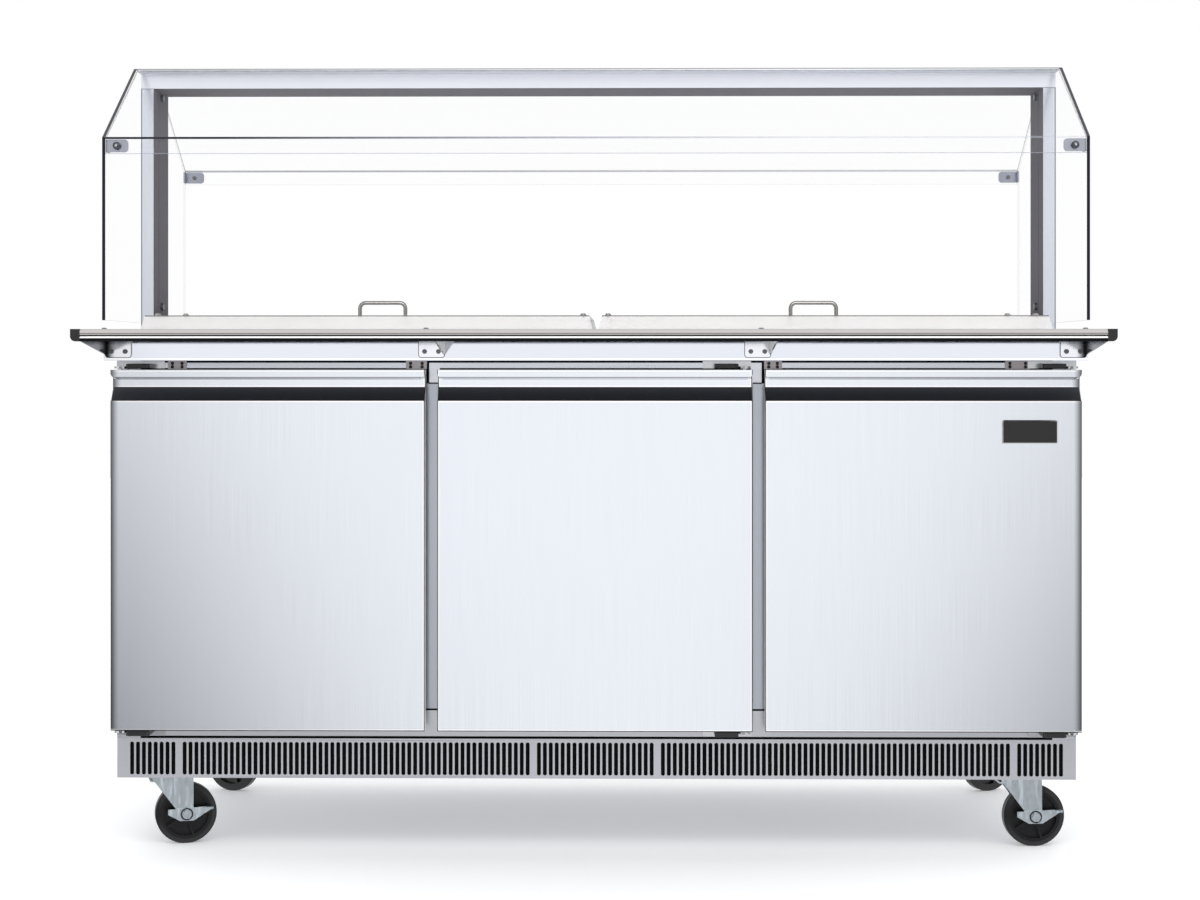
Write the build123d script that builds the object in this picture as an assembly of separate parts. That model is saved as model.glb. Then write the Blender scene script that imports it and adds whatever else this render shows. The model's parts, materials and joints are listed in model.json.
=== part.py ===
from build123d import *
import math
import os

# Refrigerated salad bar: a three-door cabinet on casters, a counter with food pans under clear
# covers, a tray slide along the front and a two-sided sneeze guard.
# Millimetres, +Z up, front towards -Y, origin on the floor under the middle of the whole object.

# Overall layout
cabinet_width = 1830.0
cabinet_depth = 780.0
door_to_body = 58.0
counter_overhang = 6.0
apron_ahead = 30.0
tray_reach = 248.0

# Heights, each from the piece below it
base_height = 75.0
door_above_base = 24.0
door_height = 681.5
counter_above_doors = 17.5
counter_thickness = 52.0
glass_above_counter = 24.0
guard_side_height = 344.0
guard_lip = 31.0
beam_above_fold = 129.0

# Cabinet walls
wall = 45.0
floor_thickness = 30.0
step_depth = 270.0
step_height = 255.0
rear_sheet = 3.0
frame_depth = 40.0
top_rail_height = 50.0
bottom_rail_height = 55.0
mullion_width = 84.0
mullion_cover_width = 18.0
mullion_cover_depth = 8.0
mullion_cover_from_top = 24.5
mullion_cover_from_bottom = 45.0
rear_louvre_count = 24
rear_louvre_pitch = 30.0
rear_louvre_width = 8.0
rear_louvre_height = 120.0

# Chassis and base grille
chassis_plate = 4.0
chassis_wall = 3.0
grille_thickness = 3.0
grille_end_slots = 8
grille_middle_slots = 20
grille_margin = 24.0
slot_pitch = 11.32
slot_group_step = 21.5
slot_width = 7.5
slot_height = 62.7
slot_corner = 2.2

# Doors
door_count = 3
door_gap = 24.0
skin = 1.5
skin_depth = 30.0
lip_height = 15.0
lip_slope = 3.5
lip_corner = 9.0
groove_depth = 22.0
groove_wall = 14.0
groove_slope = 26.0
grip_thickness = 4.0
liner_thickness = 12.0
liner_border = 4.0
liner_raise = 10.0
liner_raise_border = 40.0
gasket_inset = 15.0
gasket_width = 13.0
rest_gap = 0.3

# Door hinges
pivot_inset = 14.0
pivot_depth = 20.0
pin_radius = 4.0
pin_clearance = 0.08
pin_reach = 12.0
arm_gap = 2.5
arm_thickness = 4.0
arm_radius = 11.0
hinge_plate = 3.0
hinge_plate_length = 92.0
hinge_plate_height = 14.0

# Counter opening, cold well and pans
opening_end_gap = 25.0
opening_front_gap = 3.5
well_ledge = 10.0
well_wall = 12.0
well_floor = 15.0
well_depth = 148.0
narrow_pan = 162.0
centre_bar = 90.0
pan_gap = 2.0
pan_flange = 12.0
pan_seat = 8.0
pan_sheet = 2.5
pan_depth = 130.0
pan_corner = 14.0
bar_width = 14.0

# Clear covers
cover_end_lap = 33.0
cover_side_lap = 20.0
cover_height = 35.0
cover_gap = 6.0
cover_sheet = 4.0
cover_taper = 15.0
cover_handle_spacing = 93.0
cover_handle_height = 35.0
cover_handle_wire = 8.0
cover_handle_bend = 11.0
cover_handle_chords = 4
cover_handle_tail = 13.0
nut_radius = 7.5
nut_height = 6.0
cover_screw_from_end = (32.0, 86.0)
cover_screw_from_middle = 21.0
cover_screw_from_edge = 22.0

# Sneeze guard
guard_front_ahead = 17.0
post_width = 25.0
post_depth = 150.0
beam_height = 29.0
top_panel_depth = 228.0
top_panel_thickness = 6.0
glass = 6.0
clip_length = 42.0
clip_height = 24.0
clip_thickness = 3.0
clip_corner = 7.0
post_seam_from_front = 52.0
post_seam_width = 2.5
post_seam_depth = 2.0
bolt_radius = 4.0
bolt_head_radius = 8.0
bolt_head_height = 4.0
bolt_clearance = 0.1
bolt_from_glass_bottom = 34.0
bolt_from_beam = 11.0

# Tray slide
tray_overhang = 4.0
tray_below_counter = 18.0
tray_thickness = 22.0
tray_sheet = 2.0
tray_nose = 7.0
tray_hem = 12.0
tray_groove_heights = (8.5, 13.5)
tray_groove_radius = 1.2
end_cap_width = 17.0
end_cap_corner = 9.0
end_cap_wall = 4.0
bracket_plate = 3.0
bracket_width = 50.0
bracket_above_apron_edge = 5.0
bracket_front_gap = 14.0
bracket_toe = 16.0
bracket_corner = 6.0
bracket_edge_gap = 3.0
bracket_from_mullion = 4.0
tray_bolt_from_apron = 120.0
bracket_screw_spacing = 26.0
bracket_screw_above_edge = 12.0

# Screws and bolts, drawn with a few flat sides
fastener_sides = 12
hex_sides = 6
screw_head_radius = 4.5
screw_head_height = 3.0
screw_shank_radius = 2.5
screw_shank_length = 7.0
dome_radius = 7.0
dome_height = 4.0
dome_slope = 40.0

# Casters
wheel_diameter = 118.0
wheel_sides = 48
wheel_width = 30.0
wheel_hub_width = 34.0
wheel_hub_radius = 17.0
wheel_web = 8.0
wheel_pocket_inner = 20.0
wheel_pocket_outer = 44.0
wheel_pocket_chords = 4
wheel_rim_radius = 50.0
wheel_rib_count = 5
wheel_rib_thickness = 5.0
wheel_side_inset = 3.0
wheel_tread_width = 18.0
axle_radius = 5.0
axle_clearance = 0.08
axle_head_radius = 9.0
axle_head_height = 6.0
caster_inset = 93.0
caster_from_front = 75.0
caster_from_back = 75.0
caster_trail = 24.0
caster_plate_size = (96.0, 76.0)
caster_plate_thickness = 5.0
race_radius = 15.0
race_height = 8.0
fork_sheet = 3.5
fork_gap = 0.4
fork_over_wheel = 5.2
fork_top_back = 46.0
fork_top_front = 37.0
fork_rib_from_front = 24.0
fork_rib_width = 13.0
fork_rib_depth = 4.0
fork_rib_above_axle = 20.0
fork_boss_radius = 13.0
brake_thickness = 3.0
brake_back = 36.0
brake_front = 50.0
brake_rise = 14.0
brake_drop = 13.0
brake_tip_drop = 4.0
brake_foot = 14.0
caster_turn = {"front_left": 16.0, "front_right": 4.0, "rear_left": -20.0, "rear_right": 25.0}

# Shelves inside
shelf_above_step = 50.0
shelf_gap = 14.0
shelf_wire = 5.0
shelf_frame_wire = 7.0
shelf_weld = 1.2
shelf_wire_count = 12
shelf_rail_width = 18.0
shelf_rail_sheet = 3.0
shelf_rail_upstand = 16.0

# Refrigeration
evaporator_size = (720.0, 130.0, 120.0)
evaporator_slope = 50.0
evaporator_below_well = 20.0
evaporator_slot_count = 14
evaporator_slot_pitch = 44.0
evaporator_slot_size = (30.0, 8.0, 50.0)
compressor_radius = 72.0
compressor_sides = 32
compressor_height = 180.0
compressor_shoulder = 34.0
compressor_slope = 45.0
compressor_x = -180.0
compressor_foot = (190.0, 170.0, 8.0)
condenser_size = (330.0, 70.0, 190.0)
condenser_x = 180.0
condenser_fin_count = 16
condenser_fin_pitch = 18.0
condenser_fin_gap = 6.0
condenser_fin_depth = 18.0

# Places worked out from the sizes above
door_y = (apron_ahead + tray_reach - cabinet_depth) / 2
body_front = door_y + door_to_body
back_y = door_y + cabinet_depth
counter_front = door_y - apron_ahead
tray_front = counter_front - tray_reach
base_bottom = (wheel_diameter + fork_over_wheel + fork_sheet + rest_gap + race_height
               + caster_plate_thickness)
base_top = base_bottom + base_height
door_bottom = base_top + door_above_base
door_top = door_bottom + door_height
counter_bottom = door_top + counter_above_doors
counter_top = counter_bottom + counter_thickness
guard_glass_bottom = counter_top + glass_above_counter
guard_fold = guard_glass_bottom + guard_side_height
guard_lip_bottom = guard_fold - guard_lip
guard_beam_bottom = guard_fold + beam_above_fold
tray_bottom = counter_top - tray_below_counter
bracket_bottom = counter_bottom + bracket_above_apron_edge
bracket_screw_height = bracket_bottom + bracket_screw_above_edge
half_cabinet = cabinet_width / 2
half_counter = half_cabinet + counter_overhang
inner_x = half_cabinet - wall
door_width = (cabinet_width - (door_count - 1) * door_gap) / door_count
guard_front = door_y - guard_front_ahead
guard_back = back_y
guard_middle = (guard_front + guard_back) / 2
guard_top = guard_beam_bottom + beam_height
frame_back = body_front + frame_depth
top_rail_bottom = counter_bottom - top_rail_height
bottom_rail_top = base_top + bottom_rail_height
opening_length = 2 * (inner_x - opening_end_gap)
half_pan_room = opening_length / 2 + pan_seat - (centre_bar / 2 - pan_seat)
wide_pan = (half_pan_room - narrow_pan - 2 * pan_gap) / 2
pan_widths = (wide_pan, wide_pan, narrow_pan)
cover_length = opening_length / 2 + cover_end_lap - cover_gap / 2
tray_width = 2 * (half_counter + tray_overhang)
outer_bracket_x = half_counter - bracket_width / 2 - bracket_edge_gap
inner_bracket_x = (door_width + door_gap) / 2 - bracket_from_mullion
caster_x = half_cabinet - caster_inset
shelf_height = base_top + step_height + shelf_above_step
well_top = counter_bottom
well_bottom = well_top - well_depth


def block(x, y, z):
    """A box between the low and high values given for each axis."""
    spans = (x, y, z)
    middle = [(low + high) / 2 for low, high in spans]
    size = [high - low for low, high in spans]
    return Pos(*middle) * Box(*size)


def along_x(points, x):
    """A (Y, Z) outline extruded between two X values."""
    face = make_face(Polyline(*points, close=True))
    return extrude(Plane.YZ.offset(x[0]) * face, amount=x[1] - x[0])


def along_y(face, y):
    """A face drawn in (X, Z) extruded between two Y values."""
    return extrude(Plane.XZ.offset(-y[0]) * face, amount=y[0] - y[1])


def rod_z(x, y, z, radius):
    """An upright cylinder between two Z values."""
    return Pos(x, y, z[0]) * Cylinder(radius, z[1] - z[0], align=(Align.CENTER, Align.CENTER, Align.MIN))


def rod_y(x, y, z, radius):
    """A cylinder along Y between two Y values."""
    upright = Cylinder(radius, y[1] - y[0], align=(Align.CENTER, Align.CENTER, Align.MIN))
    return Pos(x, y[0], z) * Rot(-90, 0, 0) * upright


def rod_x(x, y, z, radius):
    """A cylinder along X between two X values."""
    upright = Cylinder(radius, x[1] - x[0], align=(Align.CENTER, Align.CENTER, Align.MIN))
    return Pos(x[0], y, z) * Rot(0, 90, 0) * upright


def bar_z(x, y, z, radius):
    """An upright many-sided bar between two Z values, for fasteners and the holes they fit."""
    return Pos(x, y, z[0]) * extrude(RegularPolygon(radius, fastener_sides), amount=z[1] - z[0])


def bar_y(x, y, z, radius):
    """A many-sided bar along Y between two Y values."""
    return Pos(x, y[0], z) * Rot(-90, 0, 0) * extrude(RegularPolygon(radius, fastener_sides), amount=y[1] - y[0])


def bar_x(x, y, z, radius):
    """A many-sided bar along X between two X values."""
    return Pos(x[0], y, z) * Rot(0, 90, 0) * extrude(RegularPolygon(radius, fastener_sides), amount=x[1] - x[0])


def domed_screw(head_radius, head_height, shank_length):
    """A screw along Z with a sloped dome above the origin and a plain shank below it."""
    head = extrude(RegularPolygon(head_radius, fastener_sides), amount=head_height, taper=dome_slope)
    return head + bar_z(0, 0, (-shank_length, 0), screw_shank_radius)


# Cabinet walls

def side_panel(side):
    """One insulated side wall, on the left for -1 and on the right for +1."""
    x = sorted((side * inner_x, side * half_cabinet))
    return block(x, (body_front, back_y), (base_top, counter_bottom))


def back_panel():
    low = base_top + step_height - floor_thickness
    return block((-inner_x, inner_x), (back_y - wall, back_y), (low, counter_bottom))


def floor_panel():
    """The insulated floor, raised at the rear over the refrigeration unit."""
    riser = back_y - step_depth
    top = base_top + step_height
    inside = back_y - wall
    outline = [
        (frame_back, base_top),
        (riser + floor_thickness, base_top),
        (riser + floor_thickness, top - floor_thickness),
        (inside, top - floor_thickness),
        (inside, top),
        (riser, top),
        (riser, base_top + floor_thickness),
        (frame_back, base_top + floor_thickness),
    ]
    return along_x(outline, (-inner_x, inner_x))


def rear_cover():
    """The louvred sheet that closes the refrigeration space at the back."""
    high = base_top + step_height - floor_thickness
    cover = block((-inner_x, inner_x), (back_y - rear_sheet, back_y), (base_top, high))
    middle = (base_top + high) / 2
    row = GridLocations(rear_louvre_pitch, 0, rear_louvre_count, 1)
    slots = Sketch() + [place * Rectangle(rear_louvre_width, rear_louvre_height) for place in row]
    return cover - along_y(Pos(0, middle) * slots, (back_y - rear_sheet, back_y))


def rail(z):
    return block((-inner_x, inner_x), (body_front, frame_back), z)


def mullion_x():
    step = (door_width + door_gap) / 2
    return (-step, step)


def mullions():
    return [
        block((x - mullion_width / 2, x + mullion_width / 2), (body_front, frame_back),
              (bottom_rail_top, top_rail_bottom))
        for x in mullion_x()
    ]


def mullion_covers():
    low = door_bottom + mullion_cover_from_bottom
    high = door_top - mullion_cover_from_top
    half = mullion_cover_width / 2
    return [
        block((x - half, x + half), (body_front - mullion_cover_depth, body_front), (low, high))
        for x in mullion_x()
    ]


def chassis():
    """The base tray that the casters bolt to and the refrigeration unit stands on."""
    front = body_front + grille_thickness
    outer = block((-half_cabinet, half_cabinet), (front, back_y), (base_bottom, base_top))
    inside_x = half_cabinet - chassis_wall
    hollow = block((-inside_x, inside_x), (front, back_y - chassis_wall),
                   (base_bottom + chassis_plate, base_top))
    return outer - hollow


def slot_groups():
    """Slots in each group: short groups at the ends and middle, long ones that fill the rest."""
    short = (grille_end_slots, grille_middle_slots, grille_end_slots)
    short_steps = sum(count - 1 for count in short)
    gaps = 2 * (len(short) - 1)
    room = cabinet_width - 2 * grille_margin - slot_width - gaps * slot_group_step
    filling = int((room / slot_pitch - short_steps) / 2) + 1
    return (grille_end_slots, filling, grille_middle_slots, filling, grille_end_slots)


def slot_centres():
    """The X of every base slot: groups of slots with a wider step between groups."""
    offsets = [0.0]
    for index, count in enumerate(slot_groups()):
        if index:
            offsets.append(offsets[-1] + slot_group_step)
        for _ in range(count - 1):
            offsets.append(offsets[-1] + slot_pitch)
    return [offset - offsets[-1] / 2 for offset in offsets]


def slot_outline(x, y, z):
    """One upright slot with cut corners, as a closed wire facing the front."""
    half_width = slot_width / 2
    half_height = slot_height / 2
    corners = []
    for side_x, side_z in ((1, 1), (-1, 1), (-1, -1), (1, -1)):
        beside = (x + side_x * half_width, y, z + side_z * (half_height - slot_corner))
        above = (x + side_x * (half_width - slot_corner), y, z + side_z * half_height)
        corners += [beside, above] if side_x == side_z else [above, beside]
    return Wire.make_polygon(corners, close=True)


def base_grille():
    middle = (base_bottom + base_top) / 2
    edge = Wire.make_polygon(
        [(-half_cabinet, body_front, base_bottom), (half_cabinet, body_front, base_bottom),
         (half_cabinet, body_front, base_top), (-half_cabinet, body_front, base_top)], close=True)
    slots = [slot_outline(x, body_front, middle) for x in slot_centres()]
    return extrude(Face(edge, slots), amount=grille_thickness, dir=(0, 1, 0))


# Doors

def door_span(index):
    low = -half_cabinet + index * (door_width + door_gap)
    return (low, low + door_width)


def pivot_x(index):
    """The left door turns on its left edge, the other two on their right edges."""
    low, high = door_span(index)
    return low + pivot_inset if index == 0 else high - pivot_inset


def door_outlines():
    """The (Y, Z) outlines of the door's outside, of its core and of the groove insert."""
    lip_low = door_top - lip_height
    wall_high = lip_low - lip_slope
    wall_low = wall_high - groove_wall
    face_top = wall_low - groove_slope
    back = door_y + skin_depth
    deep = door_y + groove_depth
    edge = door_y + skin
    outside = [
        (back, door_top), (door_y, door_top), (door_y, lip_low), (deep, wall_high),
        (deep, wall_low - grip_thickness), (edge, face_top - grip_thickness), (edge, face_top),
        (door_y, face_top), (door_y, door_bottom), (back, door_bottom),
    ]
    under = grip_thickness + 2 * skin
    core = [
        (back, door_top - skin), (edge, door_top - skin), (edge, lip_low + skin),
        (deep + skin, wall_high + skin), (deep + skin, wall_low - under), (edge, face_top - under),
        (edge, door_bottom + skin), (back, door_bottom + skin),
    ]
    insert = [(deep, wall_low), (edge, face_top), (edge, face_top - grip_thickness),
              (deep, wall_low - grip_thickness)]
    return outside, core, insert


def pivot_bores(index):
    radius = pin_radius + pin_clearance
    x = pivot_x(index)
    y = door_y + pivot_depth
    return [rod_z(x, y, (door_top - pin_reach - rest_gap, door_top), radius),
            rod_z(x, y, (door_bottom, door_bottom + pin_reach + rest_gap), radius)]


def lip_corners(index):
    """What is cut away to round the lower corners of the lip at the door's two ends."""
    y = (door_y, door_y + groove_depth)
    lip_low = door_top - lip_height
    middle = lip_low + lip_corner
    low, high = door_span(index)
    cuts = []
    for end, inward in ((low, 1), (high, -1)):
        centre = end + inward * lip_corner
        corner = block(sorted((end, centre)), y, (lip_low - lip_slope, middle))
        cuts.append(corner - rod_y(centre, y, middle, lip_corner))
    return cuts


def door_skin(index):
    """The folded steel skin: lip, finger groove, face and returns round all four edges."""
    outside, core, _ = door_outlines()
    low, high = door_span(index)
    sheet = along_x(outside, (low, high)) - along_x(core, (low + skin, high - skin))
    return sheet - pivot_bores(index) - lip_corners(index)


def door_liner(index):
    """The insulated core with the inner liner that the gasket is fixed to."""
    _, core, _ = door_outlines()
    low, high = door_span(index)
    front = door_y + skin_depth
    middle = front + liner_thickness
    body = along_x(core, (low + skin, high - skin))
    body += block((low + liner_border, high - liner_border), (front, middle),
                  (door_bottom + liner_border, door_top - liner_border))
    body += block((low + liner_raise_border, high - liner_raise_border), (middle, middle + liner_raise),
                  (door_bottom + liner_raise_border, door_top - liner_raise_border))
    return body - pivot_bores(index) - lip_corners(index)


def door_gasket(index):
    low, high = door_span(index)
    y = (door_y + skin_depth + liner_thickness, body_front - rest_gap)
    inset = gasket_inset + gasket_width
    ring = block((low + gasket_inset, high - gasket_inset), y,
                 (door_bottom + gasket_inset, door_top - gasket_inset))
    return ring - block((low + inset, high - inset), y, (door_bottom + inset, door_top - inset))


def door_grip(index):
    low, high = door_span(index)
    return along_x(door_outlines()[2], (low + skin, high - skin))


def hinge_arm(index, top):
    """A hinge arm on the cabinet rail, with the pin that the door turns on."""
    x = pivot_x(index)
    y = door_y + pivot_depth
    low, high = door_span(index)
    inward = 1 if index == 0 else -1
    start = low if index == 0 else high
    plate_x = sorted((start, start + inward * hinge_plate_length))
    if top:
        arm_z = (door_top + arm_gap, door_top + arm_gap + arm_thickness)
        plate_z = (arm_z[0], arm_z[0] + hinge_plate_height)
        pin_z = (door_top - pin_reach, arm_z[1])
    else:
        arm_z = (door_bottom - arm_gap - arm_thickness, door_bottom - arm_gap)
        plate_z = (arm_z[1] - hinge_plate_height, arm_z[1])
        pin_z = (arm_z[0], door_bottom + pin_reach)
    arm = block((x - arm_radius, x + arm_radius), (y, body_front), arm_z)
    arm += bar_z(x, y, arm_z, arm_radius)
    arm += block(plate_x, (body_front - hinge_plate, body_front), plate_z)
    return arm + rod_z(x, y, pin_z, pin_radius)


# Counter and food space

def opening_y():
    """The opening starts behind the door frame and is centred under the guard."""
    front = frame_back + opening_front_gap
    return (front, 2 * guard_middle - front)


def cover_depth():
    front, back = opening_y()
    return back - front + 2 * cover_side_lap


def counter():
    slab = block((-half_counter, half_counter), (counter_front, back_y), (counter_bottom, counter_top))
    half = opening_length / 2
    return slab - block((-half, half), opening_y(), (counter_bottom, counter_top))


def well_spans():
    half = opening_length / 2
    front, back = opening_y()
    return (-half, half), (front + well_ledge, back - well_ledge)


def cold_well():
    """The open-topped tub that hangs under the counter and chills the pans."""
    x, y = well_spans()
    outer = block((x[0] - well_wall, x[1] + well_wall), (y[0] - well_wall, y[1] + well_wall),
                  (well_bottom, well_top))
    return outer - block(x, y, (well_bottom + well_floor, well_top))


def pan_spans():
    """The X span of each pan's flange, from the outside in, on both halves."""
    spans = []
    edge = opening_length / 2 + pan_seat
    for width in pan_widths:
        spans += [(edge - width, edge), (-edge, width - edge)]
        edge -= width + pan_gap
    return spans


def pan_outline(width, depth):
    """A rectangle with cut corners."""
    return chamfer(Rectangle(width, depth).vertices(), pan_corner)


def food_pan(span):
    """One steel food pan: a flange and a straight-sided tub with cut corners."""
    front, back = opening_y()
    depth = back - front + 2 * pan_seat
    width = span[1] - span[0]
    centre = Pos((span[0] + span[1]) / 2, (front + back) / 2, counter_top)
    flange = extrude(pan_outline(width, depth), amount=pan_sheet)
    outline = (width - 2 * pan_flange, depth - 2 * (pan_flange + pan_seat))
    inside = (outline[0] - 2 * pan_sheet, outline[1] - 2 * pan_sheet)
    tub = extrude(pan_outline(*outline), amount=-pan_depth)
    hollow = Pos(0, 0, pan_sheet) * extrude(pan_outline(*inside), amount=-pan_depth)
    return centre * (flange + tub - hollow)


def divider_bars():
    """The bars between the pans, with a wide one in the middle that the covers meet on."""
    front, back = opening_y()
    z = (counter_bottom, counter_top)
    bars = []
    edge = opening_length / 2 + pan_seat
    for width in pan_widths[:-1]:
        edge -= width + pan_gap
        middle = edge + pan_gap / 2
        for side in (-1, 1):
            x = sorted((side * (middle - bar_width / 2), side * (middle + bar_width / 2)))
            bars.append(block(x, (front, back), z))
    bars.append(block((-centre_bar / 2, centre_bar / 2), (front, back), z))
    return bars


# Clear covers

def cover_middle(side):
    return side * (cover_gap + cover_length) / 2


def cover_screw_places(side):
    """The (X, Y) of the dome screws near a cover's corners."""
    outer = cover_gap / 2 + cover_length
    along = [outer - offset for offset in cover_screw_from_end]
    along.append(cover_gap / 2 + cover_screw_from_middle)
    reach = cover_depth() / 2 - cover_screw_from_edge
    return [(side * x, guard_middle + row * reach) for x in along for row in (-1, 1)]


def handle_legs(side):
    middle = cover_middle(side)
    return [middle - cover_handle_spacing / 2, middle + cover_handle_spacing / 2]


def clear_cover(side):
    """One lift-off cover: a shallow clear tray turned upside down."""
    place = Pos(cover_middle(side), guard_middle, counter_top)
    depth = cover_depth()
    outer = extrude(Rectangle(cover_length, depth), amount=cover_height, taper=cover_taper)
    inside = Rectangle(cover_length - 2 * cover_sheet, depth - 2 * cover_sheet)
    inner = extrude(inside, amount=cover_height - cover_sheet, taper=cover_taper)
    cover = place * (outer - inner)
    top = (counter_top, counter_top + cover_height)
    radius = cover_handle_wire / 2 + bolt_clearance
    cover -= [bar_z(x, guard_middle, top, radius) for x in handle_legs(side)]
    radius = screw_shank_radius + bolt_clearance
    return cover - [bar_z(x, y, top, radius) for x, y in cover_screw_places(side)]


def handle_route(left, right, low, high):
    """The middle of the bent wire: up one leg, across and down the other, with chords in the bends."""
    middle = high - cover_handle_bend
    route = [(left, guard_middle, low)]
    for centre, start in ((left + cover_handle_bend, 180), (right - cover_handle_bend, 90)):
        for chord in range(cover_handle_chords + 1):
            angle = math.radians(start - 90 * chord / cover_handle_chords)
            route.append((centre + cover_handle_bend * math.cos(angle), guard_middle,
                          middle + cover_handle_bend * math.sin(angle)))
    return route + [(right, guard_middle, low)]


def cover_hardware(side):
    """The bent-wire handle, its nuts under the sheet and the dome screws."""
    top = counter_top + cover_height
    under = top - cover_sheet
    low = under - cover_handle_tail
    high = top + cover_handle_height - cover_handle_wire / 2
    left, right = handle_legs(side)
    path = Polyline(*handle_route(left, right, low, high))
    section = Pos(left, guard_middle, low) * RegularPolygon(cover_handle_wire / 2, fastener_sides)
    pieces = [sweep(section, path=path, transition=Transition.RIGHT)]
    for x in (left, right):
        nut = Pos(x, guard_middle, under) * extrude(RegularPolygon(nut_radius, hex_sides), amount=-nut_height)
        pieces.append(nut - bar_z(x, guard_middle, (under - nut_height, under), cover_handle_wire / 2))
    screw = domed_screw(dome_radius, dome_height, screw_shank_length)
    pieces += [Pos(x, y, top) * screw for x, y in cover_screw_places(side)]
    return pieces


# Sneeze guard

def post_x(side):
    return sorted((side * (half_counter - post_width), side * half_counter))


def post_y():
    return (guard_middle - post_depth / 2, guard_middle + post_depth / 2)


def bolt_heights():
    return (guard_glass_bottom + bolt_from_glass_bottom, guard_beam_bottom - bolt_from_beam)


def post_bolt_holes():
    """The holes for the bolts that hold the side panes to the posts."""
    reach = half_counter + 2 * glass
    radius = bolt_radius + bolt_clearance
    return [bar_x((-reach, reach), guard_middle, z, radius) for z in bolt_heights()]


def guard_post(side):
    front, back = post_y()
    post = block(post_x(side), (front, back), (counter_top, guard_beam_bottom))
    inner = side * (half_counter - post_width)
    seam_x = sorted((inner, inner + side * post_seam_depth))
    seam_y = (front + post_seam_from_front, front + post_seam_from_front + post_seam_width)
    return post - block(seam_x, seam_y, (counter_top, guard_beam_bottom)) - post_bolt_holes()


def guard_beam():
    return block((-half_counter, half_counter), post_y(), (guard_beam_bottom, guard_top))


def top_panel_y():
    return (guard_middle - top_panel_depth / 2, guard_middle + top_panel_depth / 2)


def guard_top_panel():
    return block((-half_counter, half_counter), top_panel_y(), (guard_top, guard_top + top_panel_thickness))


def bent_glass(front):
    """One bent pane: a slope from the top panel out to a short upright lip."""
    edge = top_panel_y()[0]
    upper = guard_top + top_panel_thickness / 2
    rise = (upper - guard_fold) / (edge - guard_front)
    drop = glass * (1 + rise * rise) ** 0.5
    inside = guard_front + glass
    outline = [
        (guard_front, guard_lip_bottom), (guard_front, guard_fold), (edge, upper), (edge, upper - drop),
        (inside, guard_fold + rise * glass - drop), (inside, guard_lip_bottom),
    ]
    if not front:
        outline = [(2 * guard_middle - y, z) for y, z in outline]
    return along_x(outline, (-half_counter, half_counter))


def side_pane(side):
    """One end pane, shaped like the guard's section."""
    front, back = top_panel_y()
    top = guard_top + top_panel_thickness
    outline = [
        (guard_front, guard_glass_bottom), (guard_front, guard_fold), (front, top), (back, top),
        (guard_back, guard_fold), (guard_back, guard_glass_bottom),
    ]
    x = sorted((side * half_counter, side * (half_counter + glass)))
    return along_x(outline, x) - post_bolt_holes()


def clip_z():
    middle = (guard_lip_bottom + guard_fold) / 2
    return (middle - clip_height / 2, middle + clip_height / 2)


def glass_clip(side, front):
    """A rounded corner clip behind the lip, folded along the side pane."""
    inner = guard_front + glass if front else guard_back - glass
    inward = 1 if front else -1
    y = sorted((inner, inner + inward * clip_thickness))
    low, high = clip_z()
    plate = RectangleRounded(clip_length, clip_height, clip_corner)
    middle = Pos(side * (half_counter - clip_length / 2), (low + high) / 2)
    clip = along_y(middle * plate, y)
    x = sorted((side * (half_counter - clip_thickness), side * half_counter))
    leg_y = sorted((inner, inner + inward * clip_length / 2))
    return clip + block(x, leg_y, (low, high))


def guard_fasteners():
    """Through bolts with nuts at the posts, and the clip screws."""
    pieces = []
    inner = half_counter - post_width
    outer = half_counter + glass
    for side in (-1, 1):
        for z in bolt_heights():
            bolt = bar_x((inner, outer), guard_middle, z, bolt_radius)
            bolt += bar_x((outer, outer + bolt_head_height), guard_middle, z, bolt_head_radius)
            bolt += bar_x((inner - nut_height, inner), guard_middle, z, nut_radius)
            pieces.append(bolt if side == 1 else mirror(bolt, Plane.YZ))
    low, high = clip_z()
    x = half_counter - clip_length / 2
    for side in (-1, 1):
        front = guard_front + glass + clip_thickness
        back = guard_back - glass - clip_thickness
        pieces.append(bar_y(side * x, (front, front + screw_head_height), (low + high) / 2, screw_head_radius))
        pieces.append(bar_y(side * x, (back - screw_head_height, back), (low + high) / 2, screw_head_radius))
    return pieces


# Tray slide

def bracket_places():
    """Each bracket's middle X and the edge that its gusset stands on."""
    return ((-outer_bracket_x, -1), (-inner_bracket_x, 1), (inner_bracket_x, 1), (outer_bracket_x, 1))


def tray_slide():
    """A steel shelf with a rounded nose, a deep front edge and a hem folded back under it."""
    half = tray_width / 2 - end_cap_width
    top = tray_bottom + tray_thickness
    shelf = block((-half, half), (tray_front, counter_front), (tray_bottom, top))
    noses = shelf.edges().filter_by(Axis.X).group_by(Axis.Y)[0]
    shelf = fillet(noses, tray_nose)
    deep = tray_front + tray_sheet
    shelf -= block((-half, half), (tray_front + tray_hem, counter_front), (tray_bottom, top - tray_sheet))
    hollow = block((-half, half), (deep, tray_front + tray_hem), (tray_bottom + tray_sheet, top - tray_sheet))
    hollow = fillet(hollow.edges().filter_by(Axis.X).group_by(Axis.Y)[0], tray_nose - tray_sheet)
    shelf -= hollow
    for height in tray_groove_heights:
        shelf -= rod_x((-half, half), tray_front, tray_bottom + height, tray_groove_radius)
    radius = screw_shank_radius + bolt_clearance
    y = counter_front - tray_bolt_from_apron
    return shelf - [bar_z(x, y, (tray_bottom, top), radius) for x, _ in bracket_places()]


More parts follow.
